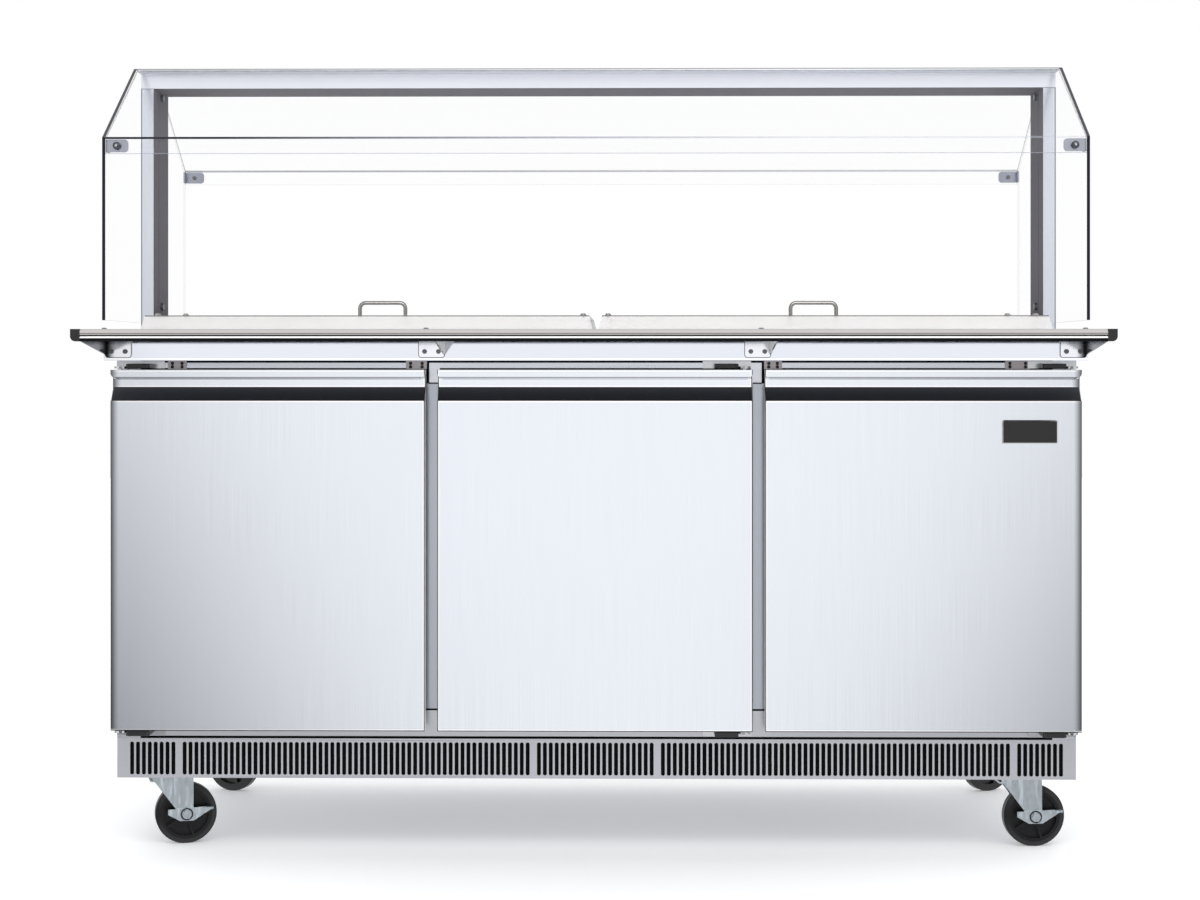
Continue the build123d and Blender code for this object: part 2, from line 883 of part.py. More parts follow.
def tray_end_cap(side):
    """A black cap that closes one end of the tray slide."""
    inner = tray_width / 2 - end_cap_width
    x = sorted((side * inner, side * tray_width / 2))
    cap = block(x, (tray_front, counter_front), (tray_bottom, tray_bottom + tray_thickness))
    outer = cap.edges().filter_by(Axis.Y).group_by(Axis.Z)[0].sort_by(Axis.X)
    cap = fillet(outer[0] if side == -1 else outer[-1], end_cap_corner)
    hollow_x = sorted((side * inner, side * (tray_width / 2 - end_cap_wall)))
    top = tray_bottom + tray_thickness - tray_sheet
    return cap - block(hollow_x, (tray_front + tray_hem, counter_front), (tray_bottom, top))


def bracket_screw_x(x):
    return (x - bracket_screw_spacing / 2, x + bracket_screw_spacing / 2)


def tray_bracket(x, side):
    """A folded bracket: a plate on the apron, a flange under the shelf and a tapered gusset."""
    top = tray_bottom + tray_thickness - tray_sheet
    back = counter_front - bracket_plate
    toe = tray_front + bracket_front_gap
    left = x - bracket_width / 2
    right = x + bracket_width / 2
    plate = Pos(x, (bracket_bottom + top) / 2) * Rectangle(bracket_width, top - bracket_bottom)
    plate = along_y(plate, (back, counter_front))
    corners = plate.edges().filter_by(Axis.Y).group_by(Axis.Z)[0]
    plate = fillet(corners, bracket_corner)
    flange = block((left, right), (toe, counter_front), (top - bracket_plate, top))
    edge = left if side == -1 else right
    gusset_x = sorted((edge, edge - side * bracket_plate))
    outline = [(back, bracket_bottom + bracket_corner), (back, top), (toe, top), (toe, top - bracket_toe)]
    bracket = plate + flange + along_x(outline, gusset_x)
    radius = screw_shank_radius + bolt_clearance
    bracket -= bar_z(x, counter_front - tray_bolt_from_apron, (tray_bottom, top), radius)
    return bracket


def tray_fasteners():
    """Dome bolts through the shelf and screws in the bracket plates."""
    pieces = []
    top = tray_bottom + tray_thickness
    face = counter_front - bracket_plate
    bolt = domed_screw(dome_radius, dome_height, tray_sheet + bracket_plate)
    for x, _ in bracket_places():
        pieces.append(Pos(x, counter_front - tray_bolt_from_apron, top) * bolt)
        for screw_x in bracket_screw_x(x):
            pieces.append(bar_y(screw_x, (face - screw_head_height, face), bracket_screw_height,
                                screw_head_radius))
    return pieces


# Casters

def caster_place(name):
    row, hand = name.split("_")
    x = -caster_x if hand == "left" else caster_x
    y = body_front + caster_from_front if row == "front" else back_y - caster_from_back
    return Pos(x, y, 0) * Rot(0, 0, caster_turn[name])


def caster_plate(name):
    """The bolted plate with the upper race of the swivel."""
    low = base_bottom - caster_plate_thickness
    plate = extrude(Rectangle(*caster_plate_size), amount=caster_plate_thickness)
    return caster_place(name) * (Pos(0, 0, low) * plate + rod_z(0, 0, (low - race_height, low), race_radius))


def leg_inside():
    return wheel_hub_width / 2 + fork_gap


def fork_top():
    """The legs stand up beside the race, to just under the mounting plate."""
    return base_bottom - caster_plate_thickness - rest_gap


def fork_leg(y):
    """One tapered fork leg, from under the plate down to the axle boss."""
    axle_z = wheel_diameter / 2
    top = fork_top()
    blade = make_face(Polyline(
        (-fork_top_back, top), (fork_top_front, top), (caster_trail + fork_boss_radius, axle_z),
        (caster_trail - fork_boss_radius, axle_z), close=True))
    blade += Pos(caster_trail, axle_z) * RegularPolygon(fork_boss_radius, fastener_sides)
    return along_y(blade, y)


def caster_fork(name):
    """The swivel fork with its axle bolt through both legs."""
    axle_z = wheel_diameter / 2
    top = base_bottom - caster_plate_thickness - race_height - rest_gap
    inside = leg_inside()
    outside = inside + fork_sheet
    crown = block((-fork_top_back, fork_top_front), (-outside, outside), (top - fork_sheet, top))
    fork = crown + fork_leg((-outside, -inside)) + fork_leg((inside, outside))
    rib_right = fork_top_front - fork_rib_from_front
    fork += block((rib_right - fork_rib_width, rib_right), (-outside - fork_rib_depth, -outside),
                  (axle_z + fork_rib_above_axle, fork_top()))
    head = outside
    if name.startswith("front"):
        head += brake_thickness + 2 * rest_gap
    axle = rod_y(caster_trail, (-head, outside), axle_z, axle_radius)
    fork -= axle
    hexagon = Pos(caster_trail, axle_z) * RegularPolygon(axle_head_radius, hex_sides)
    axle += along_y(hexagon, (-head - axle_head_height, -head))
    axle += along_y(hexagon, (outside, outside + axle_head_height))
    return [caster_place(name) * fork, caster_place(name) * axle]


def wheel_pocket():
    """The outline of one pocket in the wheel's side, between two ribs, hub and rim."""
    step = 360 / wheel_rib_count
    points = []
    for radius in (wheel_pocket_inner, wheel_pocket_outer):
        spare = math.degrees(math.asin(wheel_rib_thickness / 2 / radius))
        angles = [spare + (step - 2 * spare) * chord / wheel_pocket_chords
                  for chord in range(wheel_pocket_chords + 1)]
        if points:
            angles.reverse()
        points += [(radius * math.cos(math.radians(angle)), radius * math.sin(math.radians(angle)))
                   for angle in angles]
    return make_face(Polyline(*points, close=True))


def wheel_ring(height):
    """The many-sided outline of the tread at one height along the axle, with a flat side down."""
    outline = RegularPolygon(wheel_diameter / 2, wheel_sides, major_radius=False, rotation=180 / wheel_sides)
    return Pos(0, 0, height) * outline


def caster_wheel(name):
    """A moulded wheel: a tread with sloped shoulders, pockets between ribs on both sides, and a hub."""
    rim = wheel_width / 2 - wheel_side_inset
    tread = wheel_tread_width / 2
    slope = math.degrees(math.atan2(wheel_diameter / 2 - wheel_rim_radius, rim - tread))
    wheel = extrude(wheel_ring(-tread), amount=wheel_tread_width)
    for side in (-1, 1):
        wheel += extrude(wheel_ring(side * tread), amount=side * (rim - tread), taper=slope)
        floor = Pos(0, 0, side * wheel_web / 2) * wheel_pocket()
        pocket = extrude(floor, amount=side * (rim - wheel_web / 2))
        wheel -= [Rot(0, 0, 360 * index / wheel_rib_count) * pocket for index in range(wheel_rib_count)]
    hub = (-wheel_hub_width / 2, wheel_hub_width / 2)
    wheel += bar_z(0, 0, hub, wheel_hub_radius)
    wheel -= rod_z(0, 0, hub, axle_radius + axle_clearance)
    return caster_place(name) * Pos(caster_trail, 0, wheel_diameter / 2) * Rot(90, 0, 0) * wheel


def caster_brake(name):
    """The brake pedal beside the near fork leg, turning on the axle bolt."""
    near = -leg_inside() - fork_sheet - rest_gap
    outline = [
        (-brake_back, brake_rise - brake_tip_drop), (brake_front, brake_rise),
        (brake_front, brake_rise - brake_tip_drop), (fork_boss_radius, -brake_drop),
        (-fork_boss_radius, -brake_drop), (-brake_back, 0),
    ]
    pedal = along_y(make_face(Polyline(*outline, close=True)), (near - brake_thickness, near))
    pedal += block((brake_front - brake_foot, brake_front), (near - brake_foot, near),
                   (brake_rise - brake_tip_drop, brake_rise))
    pedal -= rod_y(0, (near - brake_foot, near), 0, axle_radius + axle_clearance)
    return caster_place(name) * Pos(caster_trail, 0, wheel_diameter / 2) * pedal


# Shelves and refrigeration

def shelf_y():
    return (frame_back, back_y - wall)


def shelf_rails():
    """Angle rails on the mullions and on the back wall that carry the shelves."""
    front, back = shelf_y()
    x = (-inner_x, inner_x)
    ledge_z = (shelf_height - shelf_rail_sheet, shelf_height)
    stand_z = (shelf_height - shelf_rail_upstand, shelf_height)
    rails = []
    for wall_y, inward in ((front, 1), (back, -1)):
        ledge_y = sorted((wall_y, wall_y + inward * shelf_rail_width))
        stand_y = sorted((wall_y, wall_y + inward * shelf_rail_sheet))
        rails.append(block(x, ledge_y, ledge_z) + block(x, stand_y, stand_z))
    return rails


def wire_shelf(index):
    """One shelf: square front-to-back wires on two frame wires that lie on the rails."""
    room = 2 * inner_x / door_count
    width = room - shelf_gap
    middle = (index - (door_count - 1) / 2) * room
    front, back = shelf_y()
    frame_z = (shelf_height, shelf_height + shelf_frame_wire)
    wire_z = (frame_z[1] - shelf_weld, frame_z[1] - shelf_weld + shelf_wire)
    y = (front + shelf_gap / 2, back - shelf_gap / 2)
    span = (middle - width / 2, middle + width / 2)
    inset = shelf_gap / 2
    shelf = block(span, (front + inset, front + inset + shelf_frame_wire), frame_z)
    shelf += block(span, (back - inset - shelf_frame_wire, back - inset), frame_z)
    step = (width - shelf_wire) / (shelf_wire_count - 1)
    starts = [span[0] + index * step for index in range(shelf_wire_count)]
    return shelf + [block((start, start + shelf_wire), y, wire_z) for start in starts]


def evaporator():
    """The cooling unit under the well, on the back wall, with a sloped slotted front."""
    length, depth, height = evaporator_size
    back = back_y - wall
    top = well_bottom - evaporator_below_well
    outline = [(back, top), (back - depth, top), (back - depth, top - height + evaporator_slope),
               (back - depth + evaporator_slope, top - height), (back, top - height)]
    housing = along_x(outline, (-length / 2, length / 2))
    slot_x, slot_y, slot_z = evaporator_slot_size
    row = GridLocations(evaporator_slot_pitch, 0, evaporator_slot_count, 1)
    front = Pos(0, back - depth, top - (height - evaporator_slope) / 2)
    return housing - [front * place * Box(slot_x, slot_y, slot_z) for place in row]


def unit_y():
    return back_y - step_depth / 2 + floor_thickness / 2


def compressor():
    """A sealed compressor can with a sloped shoulder on its foot plate."""
    floor = base_bottom + chassis_plate
    foot_x, foot_y, foot_z = compressor_foot
    place = Pos(compressor_x, unit_y(), floor)
    outline = RegularPolygon(compressor_radius, compressor_sides)
    shoulder = compressor_height - compressor_shoulder
    can = extrude(Pos(0, 0, foot_z) * outline, amount=shoulder - foot_z)
    can += extrude(Pos(0, 0, shoulder) * outline, amount=compressor_shoulder, taper=compressor_slope)
    return place * (can + block((-foot_x / 2, foot_x / 2), (-foot_y / 2, foot_y / 2), (0, foot_z)))


def condenser():
    """The finned condenser block beside the compressor."""
    width, depth, height = condenser_size
    floor = base_bottom + chassis_plate
    place = Pos(condenser_x, unit_y(), floor + height / 2)
    row = GridLocations(condenser_fin_pitch, 0, condenser_fin_count, 1)
    cut = Box(condenser_fin_gap, condenser_fin_depth, height)
    edges = [Pos(0, side * (depth - condenser_fin_depth) / 2) for side in (-1, 1)]
    core = Box(width, depth, height) - [edge * fin * cut for edge in edges for fin in row]
    return place * core


# Every node by name, each with its solids

door_names = ("left", "middle", "right")
sides = {"left": -1, "right": 1}

nodes = {
    "side_panel_left": [side_panel(-1)],
    "side_panel_right": [side_panel(1)],
    "back_panel": [back_panel()],
    "floor_panel": [floor_panel()],
    "rear_cover": [rear_cover()],
    "top_rail": [rail((top_rail_bottom, counter_bottom))],
    "bottom_rail": [rail((base_top, bottom_rail_top))],
    "mullions": mullions() + mullion_covers(),
    "chassis": [chassis()],
    "base_grille": [base_grille()],
    "hinge_arms": [hinge_arm(index, top) for index in range(len(door_names)) for top in (True, False)],
    "counter_top": [counter()],
    "cold_well": [cold_well()],
    "divider_bars": divider_bars(),
    "food_pans": [food_pan(span) for span in pan_spans()],
    "guard_post_left": [guard_post(-1)],
    "guard_post_right": [guard_post(1)],
    "guard_beam": [guard_beam()],
    "guard_top_panel": [guard_top_panel()],
    "front_glass": [bent_glass(True)],
    "rear_glass": [bent_glass(False)],
    "side_glass_left": [side_pane(-1)],
    "side_glass_right": [side_pane(1)],
    "glass_clips": [glass_clip(side, front) for side in (-1, 1) for front in (True, False)],
    "tray_slide": [tray_slide()],
    "tray_end_caps": [tray_end_cap(-1), tray_end_cap(1)],
    "tray_brackets": [tray_bracket(x, side) for x, side in bracket_places()],
    "fasteners": guard_fasteners() + tray_fasteners(),
    "caster_plates": [caster_plate(name) for name in caster_turn],
    "shelf_rails": shelf_rails(),
    "wire_shelves": [wire_shelf(index) for index in range(len(door_names))],
    "evaporator": [evaporator()],
    "compressor": [compressor()],
    "condenser": [condenser()],
}
for index, name in enumerate(door_names):
    nodes[f"door_{name}_skin"] = [door_skin(index)]
    nodes[f"door_{name}_liner"] = [door_liner(index)]
    nodes[f"door_{name}_gasket"] = [door_gasket(index)]
    nodes[f"door_{name}_grip"] = [door_grip(index)]
for name, side in sides.items():
    nodes[f"cover_{name}"] = [clear_cover(side)]
    nodes[f"cover_{name}_handle"] = cover_hardware(side)
for name in caster_turn:
    nodes[f"caster_{name}_fork"] = caster_fork(name)
    nodes[f"caster_{name}_wheel"] = [caster_wheel(name)]
for name in ("front_left", "front_right"):
    nodes[f"caster_{name}_brake"] = [caster_brake(name)]

os.makedirs("parts", exist_ok=True)
for name, shapes in nodes.items():
    solids = [solid for shape in shapes for solid in shape.solids()]
    export_step(Compound(solids), f"parts/{name}.step")
print(len(nodes), "nodes")
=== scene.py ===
import json
import math

import bmesh
import bpy
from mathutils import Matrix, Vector


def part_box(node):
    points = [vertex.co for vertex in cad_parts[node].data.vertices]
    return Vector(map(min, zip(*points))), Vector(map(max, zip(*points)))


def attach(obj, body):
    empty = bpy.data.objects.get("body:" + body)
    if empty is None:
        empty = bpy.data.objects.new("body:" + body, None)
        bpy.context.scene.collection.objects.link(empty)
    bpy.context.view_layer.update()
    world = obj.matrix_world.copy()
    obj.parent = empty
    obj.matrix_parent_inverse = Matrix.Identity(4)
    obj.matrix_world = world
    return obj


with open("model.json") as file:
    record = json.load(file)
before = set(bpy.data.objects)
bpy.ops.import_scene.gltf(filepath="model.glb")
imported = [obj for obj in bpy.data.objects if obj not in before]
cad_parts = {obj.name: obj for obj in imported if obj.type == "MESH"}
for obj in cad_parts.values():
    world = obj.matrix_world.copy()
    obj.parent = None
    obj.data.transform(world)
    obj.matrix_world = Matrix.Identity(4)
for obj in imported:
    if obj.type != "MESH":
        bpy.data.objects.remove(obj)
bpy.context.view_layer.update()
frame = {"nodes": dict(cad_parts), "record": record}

# Looks for a refrigerated salad bar: procedural materials, small fittings, studio and camera.
# Metres, +Z up, doors towards -Y. A line or seam on a surface is given by its middle and half its width.


def srgb(red, green, blue):
    """A colour from 0 to 255 sRGB values, as linear values with full alpha."""
    def linear(value):
        value /= 255
        return value / 12.92 if value <= 0.04045 else ((value + 0.055) / 1.055) ** 2.4
    return (linear(red), linear(green), linear(blue), 1.0)


# Places of the colour sockets on a Mix node
MIX_FIRST, MIX_SECOND, MIX_RESULT = 6, 7, 2

UP = Vector((0, 0, 1))
QUARTER = math.radians(90)
DOORS = ("left", "middle", "right")
SIDES = ("left", "right")
FRONT_CASTERS = ("front_left", "front_right")
CASTERS = FRONT_CASTERS + ("rear_left", "rear_right")

# Camera, fitted to the photograph's vanishing lines
CAMERA_PLACE = (0.0704, -4.6728, 0.9385)
CAMERA_TURN = math.radians(0.785)
IMAGE_WIDTH = 1200
FOCAL_PIXELS = 2347.8
HORIZON_ABOVE_MIDDLE = 89.7
SENSOR = 36.0

# Planes that fittings sit on
DOOR_FACE = -0.251
RAIL_FACE = -0.193

# The bare plate on the right door
PLATE_CENTRE = (0.8178, 0.8038)
PLATE_SIZE = (0.105, 0.045)
PLATE_DEPTH = 0.0022
PLATE_RIM = 0.0022
PLATE_CORNER = 0.003
PLATE_STEPS = 4

# Screwed plates on the rail above the doors
RAIL_PLATE_SPANS = ((-0.8175, -0.7811), (-0.3616, -0.3215), (0.3217, 0.356), (0.7801, 0.8276))
RAIL_PLATE_Z = (0.9215, 0.9372)
RAIL_PLATE_DEPTH = 0.0025
RAIL_SCREW_RADIUS = 0.0034
RAIL_SCREW_HEIGHT = 0.0018
RAIL_SCREW_INSET = 0.0045
RAIL_SCREW_STEPS = 10
RAIL_SCREW_ROWS = 3

# The black sheet behind the base slots
BAFFLE_INSET = 0.004
BAFFLE_GAP = 0.0006
BAFFLE_SHEET = 0.001
BAFFLE_FOLD = 0.012

# Hinge arms above and below the doors: the pin's X, and the way from it into the door
HINGE_PINS = {"left": (-0.901, 1), "middle": (0.283, -1), "right": (0.901, -1)}
LINK_START = 0.0115
LINK_LENGTH = 0.045
LINK_FRONT = -0.239
LINK_BACK = -0.196
LINK_CORNER = 0.006
LINK_STEPS = 5
LINK_BEVEL = 0.0012
LINK_THICKNESS = 0.0095
LINK_FEET = {"top": 0.9226, "bottom": 0.2265}

# Screws through the front pane, and dark washer-shaped rings on the brake pedals as painted shade
CLIP_LENGTH = 0.042
CLIP_SCREW_RADIUS = 0.0072
CLIP_SCREW_HEIGHT = 0.0045
CLIP_SCREW_STEPS = 18
CLIP_SCREW_ROWS = 5
# Painted shade round the axle bolt heads
SHADE_WASHER_RADIUS = 0.0122
SHADE_WASHER_BORE = 0.0094
SHADE_WASHER_THICKNESS = 0.0014
SHADE_WASHER_STEPS = 24

# Grain, gloss and haze
EVEN_GRAIN = (1, 1, 1)
VERTICAL_GRAIN = (1, 1, 0.006)
LONG_GRAIN = (0.006, 1, 1)
BRUSH_SCALE = 900
STREAK_SCALE = 0.35
STREAK_SHARE = 0.5
DRIFT_SCALE = 3.0
NOISE_DETAIL = 3.0
GRAIN_DEPTH = 0.0004
WAVE_STRETCH = (1, 1, 0.3)
ZINC_WAVES = 24.0
ZINC_WAVE_DEPTH = 0.004
SMEAR_SCALE = 6.0
SMEAR_GLOSS = 1.6
HAZE_SPREAD = 0.2
SHEET_SPECULAR = 0.2
GROOVE_SPECULAR = 0.25
BAFFLE_SPECULAR = 0.1
WHEEL_SPECULAR = 0.4
MATT = 0.9
TRAY_EDGE_ROUGHNESS = 0.45
DOOR_SIDE_ROUGHNESS = 0.5
BRACKET_SIDE_ROUGHNESS = 0.4

# How squarely a face has to look along an axis to count
FLAT_FACE = 0.9
SIDE_FACE = 0.7
SLOT_FACE = 0.6
FRONT_FACE = 0.5
UNDER_FACE = 0.3

# Shared colours
WHITE = srgb(255, 255, 255)
# Painted highlight white for lines on the doors
HIGHLIGHT_WHITE = srgb(254, 254, 255)
NAVY_EDGE = srgb(16, 16, 34)
# Black for dark seams, and for painted shadow in gaps and slots
SEAM_AND_SHADOW_BLACK = srgb(14, 14, 16)
# Painted shade for the guard's faces that look inward or down
INNER_SHADE_GREY = srgb(99, 97, 102)
GLASS_TINT = srgb(206, 210, 224)

# Edges and lines of the guard
PANE_FADE = (0.0, 0.26)
PANE_BACK_STRENGTH = 0.16
GLASS_FOLD = (1.3572, 0.0018)
FOLD_FADE = (-0.7, 0.4)
FRONT_FOLD_STRENGTH = (1.0, 0.22)
REAR_FOLD_STRENGTH = (0.5, 0.4)
GLASS_FOOT = 0.0012
FRONT_FOOT_STRENGTH = 0.4
REAR_FOOT_STRENGTH = 0.12
POST_LINE = 0.0018
POST_LINE_GREY = srgb(92, 93, 100)
PANEL_LINE = 0.002
PANEL_LINE_GREY = srgb(150, 151, 155)

# Edges of the covers
COVER_RIM = 1.0228
COVER_RIM_STRENGTH = 0.95
COVER_FOOT = 0.9925
COVER_FOOT_STRENGTH = 0.5

# Lines of the doors, and of the rail and mullions round them
# Painted highlights along the doors' top edge and folds, and a painted shade line under the lip
TOP_LINE = (0.9179, 0.001)
LIP_LINE = (0.9062, 0.0010)
LIP_SHADE_GREY = srgb(150, 152, 158)
WALL_LINE = (0.8893, 0.0012)
FACE_LINE = (0.8606, 0.0014)
# Painted shade round the outermost door edges
DOOR_ROUND = (0.898, 0.917)
DOOR_ROUND_SHADE = srgb(88, 89, 94)
# Door side faces in the gaps are made white and duller as painted light
DOOR_SIDE_DULL = 0.7
# Round each door's front: a painted highlight just inside a painted shadow line
DOOR_HIGHLIGHT_LINE = 0.0034
DOOR_SHADOW_LINE = 0.0015
DOOR_EDGE_SHADOW_GREY = srgb(64, 65, 70)
DOOR_GAP_HALF = 0.012
# Painted shadows in the gaps above and below the rail strip
RAIL_GAP_LOW = (0.9217, 0.002)
RAIL_GAP_HIGH = 0.9338
MULLION_X = 0.309
# Painted shadow beside the top of each mullion
MULLION_SIDE = (0.3198, 0.0026)
MULLION_SIDE_FOOT = 0.8945
MULLION_JOINT = (0.8958, 0.0022)
MULLION_FOOT = 0.0036
# Painted shadow in the gap above the base grille
BASE_GAP_SHADOW = (0.2182, 0.0024)
GRILLE_INSIDE = 0.888
GROOVE_SPAN = (0.858, 0.888)
# The black insert's colour with painted shade, darker downwards into the groove
GROOVE_SHADE_BANDS = [(0.0, srgb(2, 2, 3)), (0.13, srgb(3, 3, 4)), (0.22, srgb(36, 37, 43)),
                (0.6, srgb(44, 45, 51)), (1.0, srgb(64, 65, 70))]

# Lines of the apron, the tray slide and its brackets
# Painted highlight along the apron's folded foot
APRON_HIGHLIGHT_LINE = (0.941, 0.001)
TRAY_EDGE_BACK = -0.521
# Painted shade on the tray's underside
TRAY_UNDERSIDE_SHADE = srgb(26, 26, 28)
# Painted reflections on the tray's front edge: dark and bright bands by height
TRAY_EDGE_REFLECTION_BANDS = [
    (0.0, srgb(12, 12, 11)), (0.25, srgb(12, 12, 11)), (0.28, WHITE), (0.4, WHITE), (0.43, srgb(34, 33, 36)),
    (0.52, srgb(34, 33, 36)), (0.56, srgb(212, 208, 206)), (0.64, srgb(146, 142, 142)),
    (0.72, srgb(192, 189, 188)), (1.0, srgb(176, 173, 172)),
]
BRACKET_X = (0.893, 0.305)
BRACKET_HALF = 0.025
BRACKET_FOOT = 0.943
BRACKET_CORNER = 0.006
BRACKET_LINE = 0.0013
BRACKET_LINE_GREY = srgb(92, 92, 98)
# Painted shade: the end brackets darken towards the corner, and undersides and outer gussets are darker
BRACKET_END = (0.897, 0.914)
BRACKET_END_SHADE = srgb(34, 34, 37)
BRACKET_UNDERSIDE_SHADE = srgb(52, 52, 56)
GUSSET_SHADE_GREY = srgb(96, 96, 103)

# Studio: a white surround with a dim part low down to both sides in front, and a grey part behind
DIM_AHEAD = (0.05, 0.2)
DIM_TILT = 0.6
DIM_START = (0.2, 0.35)
DIM_END = (0.42, 0.62)
DIM_TOP = (0.1, 0.4)
DIM_FOOT = (0.32, 0.5)
DIM_COLOUR = (0.04, 0.043, 0.05, 1.0)
BACK_START = (-0.3, 0.2)
BACK_TOP = (0.0, 0.7)
BACK_COLOUR = (0.5, 0.51, 0.53, 1.0)
EXTRA_LIGHT = 0.14
FLOOR_FRONT = -1.9
FLOOR_REACH = 14.0
GLOW_REACH = (0.4, 2.6)
GLOW_STRENGTH = (0.16, 0.35)
KEY_PLACE = Vector((0.4, -3.2, 3.4))
KEY_TARGET = Vector((0.0, 0.0, 0.7))
KEY_SIZE = (3.0, 1.6)
KEY_POWER = 30


# Node helpers. Each takes the material or world whose nodes it adds to.

def put(material, kind, **values):
    """A new node with the named inputs set, or linked where the value is a socket."""
    node = material.node_tree.nodes.new(kind)
    for name, value in values.items():
        feed(material, node.inputs[name.replace("_", " ")], value)
    return node


def feed(material, socket, value):
    """Link a socket to another one, or set its value."""
    if isinstance(value, bpy.types.NodeSocket):
        material.node_tree.links.new(value, socket)
    else:
        socket.default_value = value


def math_node(material, operation, first, second=0.0):
    node = material.node_tree.nodes.new("ShaderNodeMath")
    node.operation = operation
    feed(material, node.inputs[0], first)
    feed(material, node.inputs[1], second)
    return node.outputs[0]


def both(material, first, second):
    return math_node(material, "MULTIPLY", first, second)


def either(material, first, second):
    return math_node(material, "MAXIMUM", first, second)


def inverse(material, value):
    return math_node(material, "SUBTRACT", 1.0, value)


def above(material, value, level):
    return math_node(material, "GREATER_THAN", value, level)


def under(material, value, level):
    return math_node(material, "LESS_THAN", value, level)


def size_of(material, value):
    return math_node(material, "ABSOLUTE", value)


def apart(material, value, middle):
    """How far a value is from the middle, either way."""
    return size_of(material, math_node(material, "SUBTRACT", value, middle))


def band(material, value, middle, half):
    """1 where the value is within a half width of the middle."""
    return under(material, apart(material, value, middle), half)


def length_of(material, first, second):
    """The length of a step that goes by both values, at right angles."""
    squares = [math_node(material, "POWER", value, 2.0) for value in (first, second)]
    return math_node(material, "SQRT", math_node(material, "ADD", *squares))


def map_range(material, value, **ends):
    return put(material, "ShaderNodeMapRange", Value=value, **ends).outputs["Result"]


def ramp_between(material, value, low, high, interpolation="SMOOTHSTEP"):
    """0 below the low value, 1 above the high one."""
    node = put(material, "ShaderNodeMapRange", Value=value, From_Min=low, From_Max=high)
    node.interpolation_type = interpolation
    return node.outputs["Result"]


def mix_colour(material, factor, first, second):
    node = material.node_tree.nodes.new("ShaderNodeMix")
    node.data_type = "RGBA"
    feed(material, node.inputs["Factor"], factor)
    feed(material, node.inputs[MIX_FIRST], first)
    feed(material, node.inputs[MIX_SECOND], second)
    return node.outputs[MIX_RESULT]


def coordinates(material, kind):
    """The X, Y and Z of one of the object's own coordinates."""
    coords = material.node_tree.nodes.new("ShaderNodeTexCoord")
    return put(material, "ShaderNodeSeparateXYZ", Vector=coords.outputs[kind]).outputs


def object_xyz(material):
    return coordinates(material, "Object")


def face_normal(material):
    return coordinates(material, "Normal")


def sideways(material):
    """How squarely a face looks to the left or right."""
    return size_of(material, face_normal(material)["X"])


def faces_front(material):
    return under(material, face_normal(material)["Y"], -FRONT_FACE)


def noise(material, stretch, scale):
    coords = material.node_tree.nodes.new("ShaderNodeTexCoord")
    mapping = put(material, "ShaderNodeMapping", Vector=coords.outputs["Object"], Scale=stretch)
    node = put(material, "ShaderNodeTexNoise", Vector=mapping.outputs["Vector"], Scale=scale,
               Detail=NOISE_DETAIL)
    return node.outputs["Fac"]


def principled(material):
    return material.node_tree.nodes["Principled BSDF"]


def source_of(material, name):
    """The socket that feeds one of the shader's inputs."""
    return principled(material).inputs[name].links[0].from_socket


def set_specular(material, level):
    principled(material).inputs["Specular IOR Level"].default_value = level


def recolour(material, factor, colour):
    """Mix another colour in where the factor is 1."""
    mixed = mix_colour(material, factor, source_of(material, "Base Color"), colour)
    feed(material, principled(material).inputs["Base Color"], mixed)


def dull(material, mask, roughness=MATT):
    """Make a surface rougher and unmetallic where the mask is 1."""
    inputs = principled(material).inputs
    metallic = inputs["Metallic"].default_value
    feed(material, inputs["Metallic"], both(material, inverse(material, mask), metallic))
    rougher = both(material, mask, roughness)
    feed(material, inputs["Roughness"], either(material, source_of(material, "Roughness"), rougher))


def rolling(material, scale, depth):
    """Add broad shallow waves under the fine grain, so that reflections roll along the metal."""
    waves = put(material, "ShaderNodeBump", Strength=1.0, Distance=depth,
                Height=noise(material, WAVE_STRETCH, scale), Normal=source_of(material, "Normal"))
    feed(material, principled(material).inputs["Normal"], waves.outputs["Normal"])


def height_bands(material, low, high, bands):
    """A colour that changes with height between two levels, as a stepped edge shows it."""
    height = map_range(material, object_xyz(material)["Z"], From_Min=low, From_Max=high)
    ramp = put(material, "ShaderNodeValToRGB", Fac=height)
    stops = ramp.color_ramp.elements
    stops[0].position, stops[0].color = bands[0]
    stops[1].position, stops[1].color = bands[-1]
    for position, colour in bands[1:-1]:
        stops.new(position).color = colour
    return ramp.outputs["Color"]


# Kinds of material

def new_material(name):
    material = bpy.data.materials.new(name)
    material.use_nodes = True
    return material


def shaded(colour, amount):
    """The same colour, lighter above 1 and darker below it."""
    return tuple(min(channel * amount, 1.0) for channel in colour[:3]) + (1.0,)


def surface(name, colour, roughness, bump, scale, grain=EVEN_GRAIN, metallic=0.0, roughness_spread=0.06,
            colour_spread=0.05, coat=0.0):
    """A material whose colour drifts and streaks, and whose gloss and bump follow a fine grain."""
    material = new_material(name)
    inputs = principled(material).inputs
    inputs["Metallic"].default_value = metallic
    inputs["Coat Weight"].default_value = coat
    fine = noise(material, grain, scale)
    drift = both(material, noise(material, EVEN_GRAIN, DRIFT_SCALE), 1 - STREAK_SHARE)
    streaks = both(material, noise(material, grain, scale * STREAK_SCALE), STREAK_SHARE)
    tone = mix_colour(material, math_node(material, "ADD", drift, streaks),
                      shaded(colour, 1 - colour_spread), shaded(colour, 1 + colour_spread))
    feed(material, inputs["Base Color"], tone)
    gloss = map_range(material, fine, To_Min=roughness - roughness_spread,
                      To_Max=roughness + roughness_spread)
    feed(material, inputs["Roughness"], gloss)
    relief = put(material, "ShaderNodeBump", Strength=bump, Distance=GRAIN_DEPTH, Height=fine)
    feed(material, inputs["Normal"], relief.outputs["Normal"])
    return material


